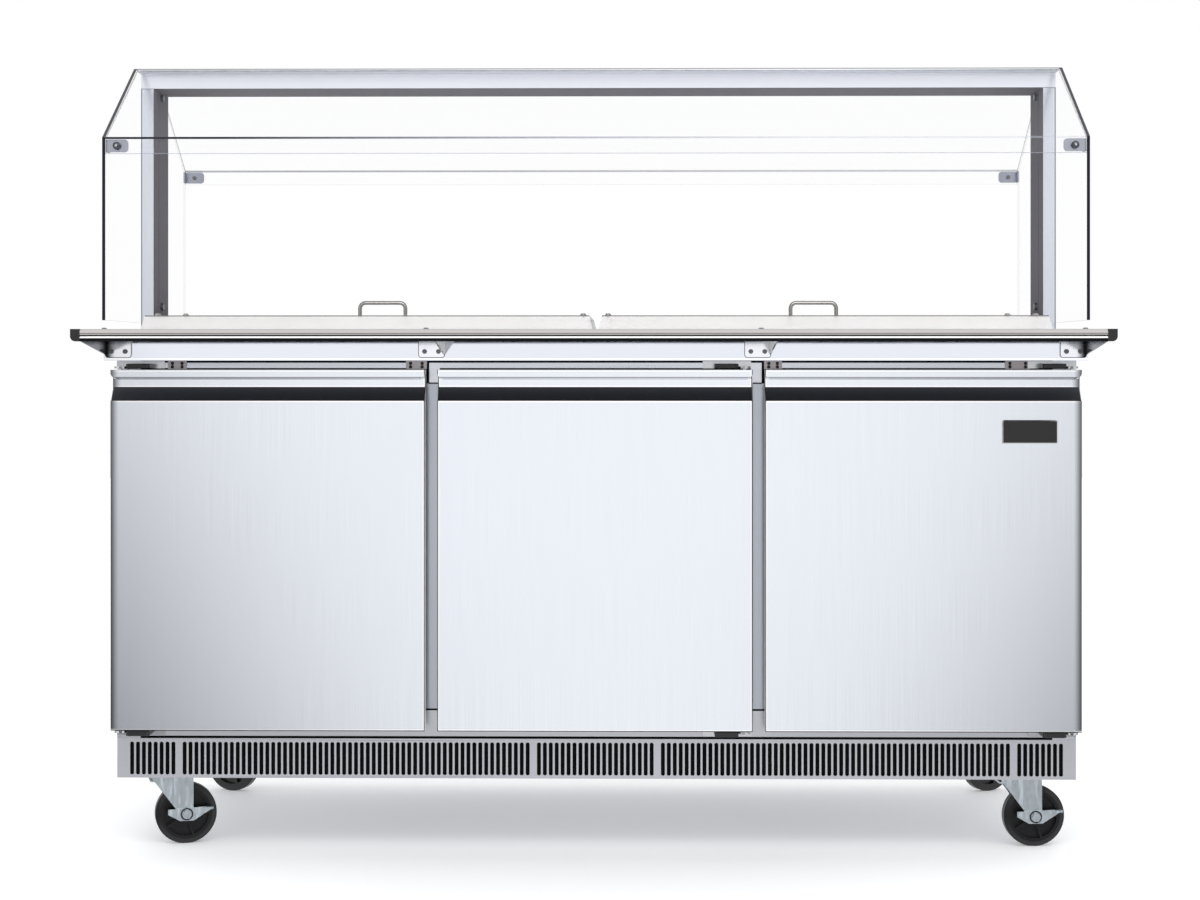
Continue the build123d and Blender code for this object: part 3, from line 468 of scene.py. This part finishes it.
def metal(name, colour, roughness, bump, scale, **more):
    return surface(name, colour, roughness, bump, scale, **{"metallic": 1.0, **more})


def brushed(name, colour, roughness, bump, grain, **more):
    return metal(name, colour, roughness, bump, BRUSH_SCALE, grain=grain, **more)


def clear(name, colour, edge_colour, edge_factor, roughness, haze):
    """A clear thin sheet with a faint haze, whose cut edges show a deep colour."""
    material = new_material(name)
    inputs = principled(material).inputs
    set_specular(material, SHEET_SPECULAR)
    edge = edge_factor(material)
    smear = noise(material, EVEN_GRAIN, SMEAR_SCALE)
    gloss = map_range(material, smear, To_Min=roughness, To_Max=roughness * SMEAR_GLOSS)
    feed(material, inputs["Roughness"], gloss)
    feed(material, inputs["Base Color"], mix_colour(material, edge, colour, edge_colour))
    veil = map_range(material, smear, To_Min=haze * (1 - HAZE_SPREAD), To_Max=haze * (1 + HAZE_SPREAD))
    feed(material, inputs["Alpha"], either(material, edge, veil))
    return material


# Edges and lines on the materials

def pane_edges(material):
    """The cut edges of an end pane, deep in colour at the front and faint at the back."""
    edge = under(material, sideways(material), FLAT_FACE)
    behind = ramp_between(material, object_xyz(material)["Y"], *PANE_FADE)
    return both(material, edge, map_range(material, behind, To_Min=1.0, To_Max=PANE_BACK_STRENGTH))


def bent_edges(material, node, fold_strength, foot_strength):
    """The cut ends, the ground fold line and the lower edge of a bent pane."""
    place = object_xyz(material)
    ends = above(material, sideways(material), FLAT_FACE)
    along = map_range(material, place["X"], From_Min=FOLD_FADE[0], From_Max=FOLD_FADE[1],
                      To_Min=fold_strength[0], To_Max=fold_strength[1])
    fold = both(material, band(material, place["Z"], *GLASS_FOLD), along)
    foot = both(material, under(material, place["Z"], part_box(node)[0].z + GLASS_FOOT), foot_strength)
    return either(material, ends, either(material, fold, foot))


def front_edges(material):
    return bent_edges(material, "front_glass", FRONT_FOLD_STRENGTH, FRONT_FOOT_STRENGTH)


def rear_edges(material):
    return bent_edges(material, "rear_glass", REAR_FOLD_STRENGTH, REAR_FOOT_STRENGTH)


def cover_edges(material):
    """The folded rim along the top of a cover's sides, and a fainter line along their foot."""
    height = object_xyz(material)["Z"]
    slope = size_of(material, face_normal(material)["Z"])
    rim = both(material, above(material, height, COVER_RIM), under(material, slope, FLAT_FACE))
    foot = both(material, under(material, height, COVER_FOOT), COVER_FOOT_STRENGTH)
    return either(material, both(material, rim, COVER_RIM_STRENGTH), foot)


def shade_inner_faces(material):
    """Painted shade: faces of the guard that look in towards the middle, or down, are made grey and matt."""
    normal = face_normal(material)
    outward = both(material, normal["X"], math_node(material, "SIGN", object_xyz(material)["X"]))
    in_shade = under(material, math_node(material, "MINIMUM", outward, normal["Z"]), -SIDE_FACE)
    # painted shade on the inward and downward faces
    recolour(material, in_shade, INNER_SHADE_GREY)
    dull(material, in_shade)


def post_lines(material):
    """Thin dark lines down the outer edges of the posts and at their joints with the beam."""
    place = object_xyz(material)
    outer = above(material, size_of(material, place["X"]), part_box("guard_post_right")[1].x - POST_LINE)
    joint = band(material, place["Z"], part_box("guard_beam")[0].z, POST_LINE / 2)
    recolour(material, both(material, faces_front(material), either(material, outer, joint)), POST_LINE_GREY)


def panel_line(material):
    """A darker line along the top of the guard's panel."""
    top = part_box("guard_top_panel")[1].z - PANEL_LINE
    recolour(material, above(material, object_xyz(material)["Z"], top), PANEL_LINE_GREY)


def tray_lines(material):
    """Painted reflections on the tray's stepped front edge, as dark and bright lines by height, and painted
    shade on its dark underside.
    """
    low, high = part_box("tray_slide")
    edge = under(material, object_xyz(material)["Y"], TRAY_EDGE_BACK)
    below = under(material, face_normal(material)["Z"], -FRONT_FACE)
    # painted reflections on the front edge, painted shade underneath
    recolour(material, edge, height_bands(material, low.z, high.z, TRAY_EDGE_REFLECTION_BANDS))
    recolour(material, below, TRAY_UNDERSIDE_SHADE)
    dull(material, either(material, edge, below), TRAY_EDGE_ROUGHNESS)
    set_specular(material, 0.0)


def from_mullion(material, x):
    """How far a point is from the middle of the nearer mullion, across the front."""
    return apart(material, size_of(material, x), MULLION_X)


def door_lines(material):
    """Painted highlights along the folds of the door sheet, a painted shade line under the lip, painted shade
    round the outermost edges, white side faces as painted light, and round the front a painted highlight just
    inside a painted shadow line by the gaps.
    """
    place = object_xyz(material)
    height = place["Z"]
    across = size_of(material, place["X"])
    # painted highlights on the top edge and folds, painted shade under the lip and round the outermost edges
    bright = either(material, band(material, height, *WALL_LINE), band(material, height, *FACE_LINE))
    recolour(material, either(material, bright, band(material, height, *TOP_LINE)), HIGHLIGHT_WHITE)
    recolour(material, band(material, height, *LIP_LINE), LIP_SHADE_GREY)
    recolour(material, ramp_between(material, across, *DOOR_ROUND), DOOR_ROUND_SHADE)
    # painted light: side faces in the narrow gaps are made white and duller
    sides = both(material, above(material, sideways(material), SIDE_FACE),
                 under(material, across, DOOR_ROUND[0]))
    recolour(material, sides, WHITE)
    dull(material, both(material, sides, DOOR_SIDE_DULL), DOOR_SIDE_ROUGHNESS)
    # a painted highlight just inside a painted shadow line round the front's edges by the gaps and at the
    # foot
    from_side = math_node(material, "SUBTRACT", from_mullion(material, place["X"]), DOOR_GAP_HALF)
    from_foot = math_node(material, "SUBTRACT", height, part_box("door_middle_skin")[0].z)
    inset = math_node(material, "MINIMUM", from_side, from_foot)
    for width, colour in ((DOOR_HIGHLIGHT_LINE, HIGHLIGHT_WHITE), (DOOR_SHADOW_LINE, DOOR_EDGE_SHADOW_GREY)):
        recolour(material, both(material, faces_front(material), under(material, inset, width)), colour)


def mullion_sides(material, place):
    """Painted shadow in the upright gap beside the top of each mullion."""
    return both(material, band(material, size_of(material, place["X"]), *MULLION_SIDE),
                above(material, place["Z"], MULLION_SIDE_FOOT))


def rail_lines(material):
    """Painted shadows in the gaps above and below the strip over the doors, clear of the mullions."""
    place = object_xyz(material)
    low = both(material, band(material, place["Z"], *RAIL_GAP_LOW),
               above(material, from_mullion(material, place["X"]), DOOR_GAP_HALF))
    gaps = either(material, low, above(material, place["Z"], RAIL_GAP_HIGH))
    # painted shadow in the gaps
    recolour(material, either(material, gaps, mullion_sides(material, place)), SEAM_AND_SHADOW_BLACK)


def mullion_lines(material):
    """Painted shadows in the gaps beside each mullion, and dark seams near its top and at its foot."""
    place = object_xyz(material)
    foot = under(material, place["Z"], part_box("mullions")[0].z + MULLION_FOOT)
    seams = either(material, band(material, place["Z"], *MULLION_JOINT), foot)
    recolour(material, either(material, mullion_sides(material, place), seams), SEAM_AND_SHADOW_BLACK)


def plate_outline(material, across, height):
    """A thin line just inside the sides and the rounded lower corners of each bracket plate."""
    aside = math_node(material, "MINIMUM", *[apart(material, across, middle) for middle in BRACKET_X])
    past_side = math_node(material, "SUBTRACT", aside, BRACKET_HALF - BRACKET_CORNER)
    past_foot = math_node(material, "SUBTRACT", BRACKET_FOOT + BRACKET_CORNER, height)
    reach = length_of(material, either(material, past_side, 0.0), either(material, past_foot, 0.0))
    return above(material, reach, BRACKET_CORNER - BRACKET_LINE)


def bracket_lines(material):
    """Lines round the plates; painted shade darkens the end ones towards the corner and the undersides, grey
    painted shade lies on the gussets beside them, and inner side faces are made white as painted light.
    """
    place = object_xyz(material)
    across = size_of(material, place["X"])
    side = above(material, sideways(material), SIDE_FACE)
    gusset = both(material, side, above(material, across, BRACKET_END[0]))
    inner = both(material, side, under(material, across, BRACKET_END[0]))
    below = under(material, face_normal(material)["Z"], -UNDER_FACE)
    recolour(material, plate_outline(material, across, place["Z"]), BRACKET_LINE_GREY)
    # painted shade towards the corner, underneath and on the outer gussets
    recolour(material, ramp_between(material, across, *BRACKET_END), BRACKET_END_SHADE)
    recolour(material, below, BRACKET_UNDERSIDE_SHADE)
    recolour(material, gusset, GUSSET_SHADE_GREY)
    # painted light: the inner side faces are made white and duller
    recolour(material, inner, WHITE)
    dull(material, inner, BRACKET_SIDE_ROUGHNESS)


def groove_shade(material):
    """Painted shade: the groove insert darkens downwards, deepest along its foot."""
    recolour(material, 1.0, height_bands(material, *GROOVE_SPAN, GROOVE_SHADE_BANDS))
    set_specular(material, GROOVE_SPECULAR)


def apron_highlight(material):
    """A painted highlight along the folded foot of the apron."""
    foot = band(material, object_xyz(material)["Z"], *APRON_HIGHLIGHT_LINE)
    recolour(material, both(material, faces_front(material), foot), WHITE)


def dark_walls(material):
    """The narrow walls of the base slots lie in shadow."""
    walls = above(material, sideways(material), SLOT_FACE)
    inside = under(material, size_of(material, object_xyz(material)["X"]), GRILLE_INSIDE)
    recolour(material, both(material, walls, inside), SEAM_AND_SHADOW_BLACK)


# Materials: colour, roughness, bump, then the grain's direction or scale

body_steel = brushed("body_steel", srgb(214, 218, 224), 0.26, 0.02, VERTICAL_GRAIN, roughness_spread=0.03,
                     colour_spread=0.008)
door_front_steel = brushed("door_front_steel", srgb(229, 233, 240), 0.19, 0.03, VERTICAL_GRAIN,
                           colour_spread=0.03)
counter_steel = brushed("counter_steel", srgb(221, 224, 232), 0.05, 0.01, LONG_GRAIN, roughness_spread=0.02,
                        colour_spread=0.006)
rail_steel = brushed("rail_steel", srgb(200, 202, 208), 0.34, 0.06, LONG_GRAIN)
top_rail_steel = brushed("top_rail_steel", srgb(208, 211, 218), 0.24, 0.04, LONG_GRAIN)
frame_steel = brushed("frame_steel", srgb(182, 186, 195), 0.3, 0.06, VERTICAL_GRAIN)
grille_steel = brushed("grille_steel", srgb(202, 203, 210), 0.4, 0.08, LONG_GRAIN)
bracket_steel = brushed("bracket_steel", srgb(232, 234, 240), 0.1, 0.03, LONG_GRAIN)
tray_steel = brushed("tray_steel", srgb(226, 228, 234), 0.28, 0.05, LONG_GRAIN, colour_spread=0.01)
post_metal = brushed("post_metal", srgb(214, 218, 227), 0.2, 0.03, VERTICAL_GRAIN)
beam_metal = brushed("beam_metal", srgb(232, 235, 243), 0.2, 0.03, LONG_GRAIN, metallic=0.45)
panel_metal = brushed("panel_metal", srgb(234, 236, 240), 0.3, 0.05, LONG_GRAIN)
fin_metal = metal("fin_metal", srgb(190, 192, 196), 0.4, 0.08, 700, grain=VERTICAL_GRAIN)
pan_steel = metal("pan_steel", srgb(205, 207, 210), 0.3, 0.05, 700)
bright_steel = metal("bright_steel", srgb(196, 197, 200), 0.2, 0.04, 400)
clip_steel = metal("clip_steel", srgb(172, 175, 186), 0.3, 0.06, 500)
# Dark as painted shade, for the domes of the clip screws
dome_shade_steel = metal("dome_shade_steel", srgb(84, 85, 90), 0.2, 0.04, 400)
screw_steel = metal("screw_steel", srgb(120, 121, 126), 0.3, 0.06, 400)
wire_steel = metal("wire_steel", srgb(160, 158, 156), 0.24, 0.05, 500)
rail_plate_metal = metal("rail_plate_metal", srgb(186, 180, 181), 0.36, 0.1, 500)
zinc = metal("zinc", srgb(214, 224, 230), 0.3, 0.05, 120, colour_spread=0.06)
groove_plastic = surface("groove_plastic", srgb(30, 31, 36), 0.5, 0.1, 1500)
cap_plastic = surface("cap_plastic", srgb(20, 20, 21), 0.38, 0.12, 1500)
liner_plastic = surface("liner_plastic", srgb(226, 228, 230), 0.4, 0.08, 500)
# Darker than the rubber alone: partly the gasket's own colour, partly painted shade for the gaps beside the
# doors
gasket_rubber = surface("gasket_rubber", srgb(58, 58, 62), 0.6, 0.2, 800)
wheel_rubber = surface("wheel_rubber", srgb(15, 15, 18), 0.3, 0.1, 700)
coated_wire = surface("coated_wire", srgb(196, 199, 203), 0.35, 0.1, 600, coat=0.3)
black_paint = surface("black_paint", srgb(28, 28, 30), 0.35, 0.1, 500, coat=0.3)
hinge_black = surface("hinge_black", srgb(30, 30, 33), 0.3, 0.1, 600)
plate_black = surface("plate_black", srgb(22, 22, 24), 0.3, 0.06, 900)
baffle_black = surface("baffle_black", srgb(8, 8, 9), 0.8, 0.1, 400)
floor_paint = surface("floor_paint", srgb(250, 250, 250), 0.7, 0.02, 40, colour_spread=0.004)

# Clear sheets: colour, edge colour, edges, roughness, haze
pane_glass = clear("pane_glass", GLASS_TINT, NAVY_EDGE, pane_edges, 0.04, 0.015)
front_pane_glass = clear("front_pane_glass", GLASS_TINT, NAVY_EDGE, front_edges, 0.04, 0.02)
rear_pane_glass = clear("rear_pane_glass", GLASS_TINT, NAVY_EDGE, rear_edges, 0.04, 0.015)
cover_plastic = clear("cover_plastic", srgb(254, 252, 250), srgb(104, 101, 101), cover_edges, 0.08, 0.55)

shade_inner_faces(post_metal)
shade_inner_faces(beam_metal)
post_lines(post_metal)
panel_line(panel_metal)
tray_lines(tray_steel)
door_lines(door_front_steel)
rail_lines(top_rail_steel)
mullion_lines(frame_steel)
bracket_lines(bracket_steel)
groove_shade(groove_plastic)
rolling(zinc, ZINC_WAVES, ZINC_WAVE_DEPTH)
apron_highlight(counter_steel)
dark_walls(grille_steel)
# painted shadow in the gap above the base grille
recolour(rail_steel, band(rail_steel, object_xyz(rail_steel)["Z"], *BASE_GAP_SHADOW), SEAM_AND_SHADOW_BLACK)
set_specular(baffle_black, BAFFLE_SPECULAR)
set_specular(wheel_rubber, WHEEL_SPECULAR)

NODE_MATERIALS = {
    "side_panel_left": body_steel, "side_panel_right": body_steel, "back_panel": body_steel,
    "rear_cover": grille_steel, "floor_panel": liner_plastic, "chassis": rail_steel,
    "top_rail": top_rail_steel, "bottom_rail": rail_steel, "mullions": frame_steel,
    "base_grille": grille_steel, "hinge_arms": bright_steel, "counter_top": counter_steel,
    "cold_well": pan_steel, "divider_bars": pan_steel, "food_pans": pan_steel,
    "guard_post_left": post_metal, "guard_post_right": post_metal, "guard_beam": beam_metal,
    "guard_top_panel": panel_metal, "front_glass": front_pane_glass, "rear_glass": rear_pane_glass,
    "side_glass_left": pane_glass, "side_glass_right": pane_glass, "glass_clips": clip_steel,
    "tray_slide": tray_steel, "tray_end_caps": cap_plastic, "tray_brackets": bracket_steel,
    "fasteners": screw_steel, "caster_plates": zinc, "shelf_rails": coated_wire,
    "wire_shelves": coated_wire, "evaporator": fin_metal, "compressor": black_paint,
    "condenser": fin_metal,
}
for door in DOORS:
    NODE_MATERIALS[f"door_{door}_skin"] = door_front_steel
    NODE_MATERIALS[f"door_{door}_liner"] = liner_plastic
    NODE_MATERIALS[f"door_{door}_gasket"] = gasket_rubber
    NODE_MATERIALS[f"door_{door}_grip"] = groove_plastic
for side in SIDES:
    NODE_MATERIALS[f"cover_{side}"] = cover_plastic
    NODE_MATERIALS[f"cover_{side}_handle"] = wire_steel
for caster in CASTERS:
    NODE_MATERIALS[f"caster_{caster}_fork"] = zinc
    NODE_MATERIALS[f"caster_{caster}_wheel"] = wheel_rubber
for caster in FRONT_CASTERS:
    NODE_MATERIALS[f"caster_{caster}_brake"] = zinc

for name, node in frame["nodes"].items():
    node.data.materials.clear()
    node.data.materials.append(NODE_MATERIALS[name])


# Small fittings

def show(name, data):
    """A new object in the scene."""
    made = bpy.data.objects.new(name, data)
    bpy.context.scene.collection.objects.link(made)
    return made


def finished_mesh(name, mesh, materials):
    data = bpy.data.meshes.new(name)
    mesh.normal_update()
    mesh.to_mesh(data)
    mesh.free()
    for material in materials:
        data.materials.append(material)
    return data


def piece(name, mesh, materials, body):
    """A scene object from a finished mesh, riding on a body of the model."""
    made = show(name, finished_mesh(name, mesh, materials))
    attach(made, body)


def close_loops(mesh, lower, upper, material_index=0):
    """Join two loops of vertices with a ring of faces."""
    count = len(lower)
    for index in range(count):
        after = (index + 1) % count
        face = mesh.faces.new((lower[index], lower[after], upper[after], upper[index]))
        face.material_index = material_index


def stack(mesh, rings, side_material=0, cap_material=0):
    """Join rings of points into a closed solid, from the back ring to the front one. Gives the front face."""
    loops = [[mesh.verts.new(point) for point in ring] for ring in rings]
    for lower, upper in zip(loops, loops[1:]):
        close_loops(mesh, lower, upper, side_material)
    back = mesh.faces.new(list(reversed(loops[0])))
    front = mesh.faces.new(loops[-1])
    back.material_index = front.material_index = cap_material
    return front


def rounded_outline(width, height, corner):
    """The points of a rounded rectangle, counter-clockwise from the front."""
    points = []
    for quarter, (side_x, side_z) in enumerate(((1, 1), (-1, 1), (-1, -1), (1, -1))):
        centre = Vector((side_x * (width / 2 - corner), side_z * (height / 2 - corner)))
        for step in range(PLATE_STEPS + 1):
            angle = QUARTER * (quarter + step / PLATE_STEPS)
            points.append(centre + corner * Vector((math.cos(angle), math.sin(angle))))
    return points


def front_ring(points, y, centre=(0.0, 0.0)):
    """(X, Z) points round a centre, as places on an upright plane."""
    return [Vector((centre[0] + x, y, centre[1] + z)) for x, z in points]


def dome(mesh, centre, radius, height, material_index, steps, rows):
    """A domed screw head that faces the front, standing on the plane of its centre. Gives its front face."""
    turns = [math.tau * step / steps for step in range(steps)]
    rings = []
    for row in range(rows):
        angle = QUARTER * row / rows
        ring_radius = radius * math.cos(angle)
        y = centre.y - height * math.sin(angle)
        rings.append([Vector((centre.x + ring_radius * math.cos(turn), y,
                              centre.z + ring_radius * math.sin(turn))) for turn in turns])
    return stack(mesh, rings, material_index, material_index)


def bare_plate():
    """A plain plate with a raised bright rim round a dark field."""
    mesh = bmesh.new()
    width, height = PLATE_SIZE
    outer = rounded_outline(width, height, PLATE_CORNER)
    inner = rounded_outline(width - 2 * PLATE_RIM, height - 2 * PLATE_RIM, PLATE_CORNER / 2)
    front = DOOR_FACE - PLATE_DEPTH
    levels = ((outer, DOOR_FACE), (outer, front + PLATE_DEPTH / 3), (inner, front),
              (inner, front + PLATE_DEPTH / 2))
    rings = [front_ring(outline, y, PLATE_CENTRE) for outline, y in levels]
    stack(mesh, rings, side_material=0, cap_material=1)
    piece("bare_plate", mesh, [bright_steel, plate_black], "door_right")


def rail_plate(index, span):
    """A small plate on the rail with a screw in each corner."""
    mesh = bmesh.new()
    centre = (sum(span) / 2, sum(RAIL_PLATE_Z) / 2)
    width, height = span[1] - span[0], RAIL_PLATE_Z[1] - RAIL_PLATE_Z[0]
    outline = rounded_outline(width, height, PLATE_CORNER / 2)
    front = RAIL_FACE - RAIL_PLATE_DEPTH
    stack(mesh, [front_ring(outline, y, centre) for y in (RAIL_FACE, front)])
    for side_x in (-1, 1):
        for side_z in (-1, 1):
            place = Vector((centre[0] + side_x * (width / 2 - 2 * RAIL_SCREW_INSET), front,
                            centre[1] + side_z * (height / 2 - RAIL_SCREW_INSET)))
            dome(mesh, place, RAIL_SCREW_RADIUS, RAIL_SCREW_HEIGHT, 1, RAIL_SCREW_STEPS, RAIL_SCREW_ROWS)
    piece(f"rail_plate_{index}", mesh, [rail_plate_metal, hinge_black], "cabinet")


def grille_baffle():
    """A black sheet behind the base slots, folded back along its four edges."""
    mesh = bmesh.new()
    low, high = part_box("base_grille")
    front = high.y + BAFFLE_GAP

    def corners(inset):
        half = high.x - BAFFLE_INSET - inset
        bottom, top = low.z + BAFFLE_INSET + inset, high.z - BAFFLE_INSET - inset
        return [(half, top), (-half, top), (-half, bottom), (half, bottom)]

    outer, inner = corners(0.0), corners(BAFFLE_SHEET)
    levels = ((inner, front + BAFFLE_SHEET), (inner, front + BAFFLE_FOLD), (outer, front + BAFFLE_FOLD),
              (outer, front))
    stack(mesh, [front_ring(outline, y) for outline, y in levels])
    piece("grille_baffle", mesh, [baffle_black], "cabinet")


def link_outline(start, inward, inset):
    """The (X, Y) outline of a hinge arm with rounded front corners, drawn in by an inset."""
    corner = LINK_CORNER - inset
    near, far = sorted((start, start + inward * LINK_LENGTH))
    points = [Vector((far - inset, LINK_BACK)), Vector((near + inset, LINK_BACK))]
    for centre_x, quarter in ((near + LINK_CORNER, 2), (far - LINK_CORNER, 3)):
        for step in range(LINK_STEPS + 1):
            angle = QUARTER * (quarter + step / LINK_STEPS)
            points.append(Vector((centre_x + corner * math.cos(angle),
                                  LINK_FRONT + LINK_CORNER + corner * math.sin(angle))))
    return points


def hinge_link(name, pin_x, inward, foot):
    """A black hinge arm with rounded corners and bevelled rims, standing on the hinge plate."""
    mesh = bmesh.new()
    start = pin_x + inward * LINK_START
    top = foot + LINK_THICKNESS
    levels = ((foot, LINK_BEVEL), (foot + LINK_BEVEL, 0.0), (top - LINK_BEVEL, 0.0), (top, LINK_BEVEL))
    stack(mesh, [[Vector((x, y, z)) for x, y in link_outline(start, inward, inset)] for z, inset in levels])
    bmesh.ops.recalc_face_normals(mesh, faces=mesh.faces)
    piece(name, mesh, [hinge_black], "cabinet")


def clip_screw(name, side):
    """A domed screw through the front pane into a corner clip, darkened as painted shade round its dome, with
    a painted highlight on its bright face.
    """
    mesh = bmesh.new()
    low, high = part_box("glass_clips")
    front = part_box("front_glass")[0].y
    place = Vector((side * (high.x - CLIP_LENGTH / 2), front, (low.z + high.z) / 2))
    face = dome(mesh, place, CLIP_SCREW_RADIUS, CLIP_SCREW_HEIGHT, 0, CLIP_SCREW_STEPS, CLIP_SCREW_ROWS)
    # painted highlight: the screw's flat face is bright
    face.material_index = 1
    piece(name, mesh, [dome_shade_steel, bright_steel], "cabinet")


def axle_shade_washer(caster):
    """A dark washer-shaped ring with a chamfered rim on the brake pedal, round the head of the axle bolt:
    painted shade that sets the bolt head off.
    """
    mesh = bmesh.new()
    pedal = next(joint for joint in frame["record"]["behaviour"]["joints"]
                 if joint["name"] == f"brake_{caster}_pedal")
    centre, axis = Vector(pedal["pos_m"]), Vector(pedal["axis"]).normalized()
    across = axis.cross(UP)
    offsets = [vertex.co - centre for vertex in frame["nodes"][f"caster_{caster}_brake"].data.vertices]
    seat = min(offset.dot(axis) for offset in offsets
               if (offset - offset.dot(axis) * axis).length < SHADE_WASHER_RADIUS)
    outer, inner, thick = SHADE_WASHER_RADIUS, SHADE_WASHER_BORE, SHADE_WASHER_THICKNESS
    section = ((inner, 0.0), (outer, 0.0), (outer, thick / 2), (outer - thick / 2, thick), (inner, thick))
    turns = [math.tau * step / SHADE_WASHER_STEPS for step in range(SHADE_WASHER_STEPS)]
    spokes = [math.cos(turn) * across + math.sin(turn) * UP for turn in turns]
    loops = [[mesh.verts.new(centre + (seat - height) * axis + radius * spoke) for spoke in spokes]
             for radius, height in section]
    for near, far in zip(loops, loops[1:] + loops[:1]):
        close_loops(mesh, near, far)
    bmesh.ops.recalc_face_normals(mesh, faces=mesh.faces)
    piece(f"axle_shade_washer_{caster}", mesh, [hinge_black], f"brake_{caster}")


bare_plate()
for index, span in enumerate(RAIL_PLATE_SPANS):
    rail_plate(index, span)
grille_baffle()
for door, (pin_x, inward) in HINGE_PINS.items():
    for end, foot in LINK_FEET.items():
        hinge_link(f"hinge_link_{end}_{door}", pin_x, inward, foot)
clip_screw("clip_screw_left", -1)
clip_screw("clip_screw_right", 1)
for caster in FRONT_CASTERS:
    axle_shade_washer(caster)


# Studio

def studio_world():
    """A white surround, dim low down to both sides in front of the object and greyer behind it."""
    world = bpy.data.worlds.new("studio")
    bpy.context.scene.world = world
    world.use_nodes = True
    background = world.node_tree.nodes["Background"]
    way = coordinates(world, "Generated")
    ahead = both(world, way["Y"], -1.0)
    depth = either(world, ahead, DIM_AHEAD[0])
    aside = math_node(world, "DIVIDE", size_of(world, way["X"]), depth)
    below = math_node(world, "DIVIDE", both(world, way["Z"], -1.0), depth)
    slant = math_node(world, "ADD", aside, both(world, below, DIM_TILT))
    dim = both(world, ramp_between(world, slant, *DIM_START, interpolation="LINEAR"),
               ramp_between(world, ahead, *DIM_AHEAD))
    for value, ends in ((aside, DIM_END), (way["Z"], DIM_TOP), (below, DIM_FOOT)):
        dim = both(world, dim, inverse(world, ramp_between(world, value, *ends)))
    behind = both(world, ramp_between(world, way["Y"], *BACK_START),
                  inverse(world, ramp_between(world, way["Z"], *BACK_TOP)))
    path = world.node_tree.nodes.new("ShaderNodeLightPath")
    unseen = inverse(world, path.outputs["Is Camera Ray"])
    front_colour = mix_colour(world, both(world, dim, unseen), WHITE, DIM_COLOUR)
    colour = mix_colour(world, both(world, behind, unseen), front_colour, BACK_COLOUR)
    feed(world, background.inputs["Color"], colour)
    feed(world, background.inputs["Strength"], math_node(world, "ADD", both(world, unseen, EXTRA_LIGHT), 1.0))


def studio_floor():
    """A pale floor that glows a little, more so away from the object."""
    mesh = bmesh.new()
    corners = ((-FLOOR_REACH, FLOOR_FRONT), (FLOOR_REACH, FLOOR_FRONT), (FLOOR_REACH, FLOOR_REACH),
               (-FLOOR_REACH, FLOOR_REACH))
    mesh.faces.new([mesh.verts.new((x, y, 0.0)) for x, y in corners])
    place = object_xyz(floor_paint)
    away = length_of(floor_paint, place["X"], place["Y"])
    glow = map_range(floor_paint, away, From_Min=GLOW_REACH[0], From_Max=GLOW_REACH[1],
                     To_Min=GLOW_STRENGTH[0], To_Max=GLOW_STRENGTH[1])
    inputs = principled(floor_paint).inputs
    inputs["Emission Color"].default_value = WHITE
    feed(floor_paint, inputs["Emission Strength"], glow)
    floor = show("floor", finished_mesh("floor", mesh, [floor_paint]))
    floor.visible_glossy = False


def key_light():
    light = bpy.data.lights.new("key", "AREA")
    light.shape = "RECTANGLE"
    light.size, light.size_y = KEY_SIZE
    light.energy = KEY_POWER
    lamp = show("key", light)
    lamp.location = KEY_PLACE
    lamp.rotation_euler = (KEY_TARGET - KEY_PLACE).to_track_quat("-Z", "Y").to_euler()


def photo_camera():
    data = bpy.data.cameras.new("camera")
    data.sensor_width = SENSOR
    data.lens = SENSOR * FOCAL_PIXELS / IMAGE_WIDTH
    data.shift_y = -HORIZON_ABOVE_MIDDLE / IMAGE_WIDTH
    camera = show("camera", data)
    camera.location = CAMERA_PLACE
    camera.rotation_euler = (QUARTER, 0, CAMERA_TURN)
    bpy.context.scene.camera = camera


studio_world()
studio_floor()
key_light()
photo_camera()
bpy.context.scene.view_settings.view_transform = "Standard"
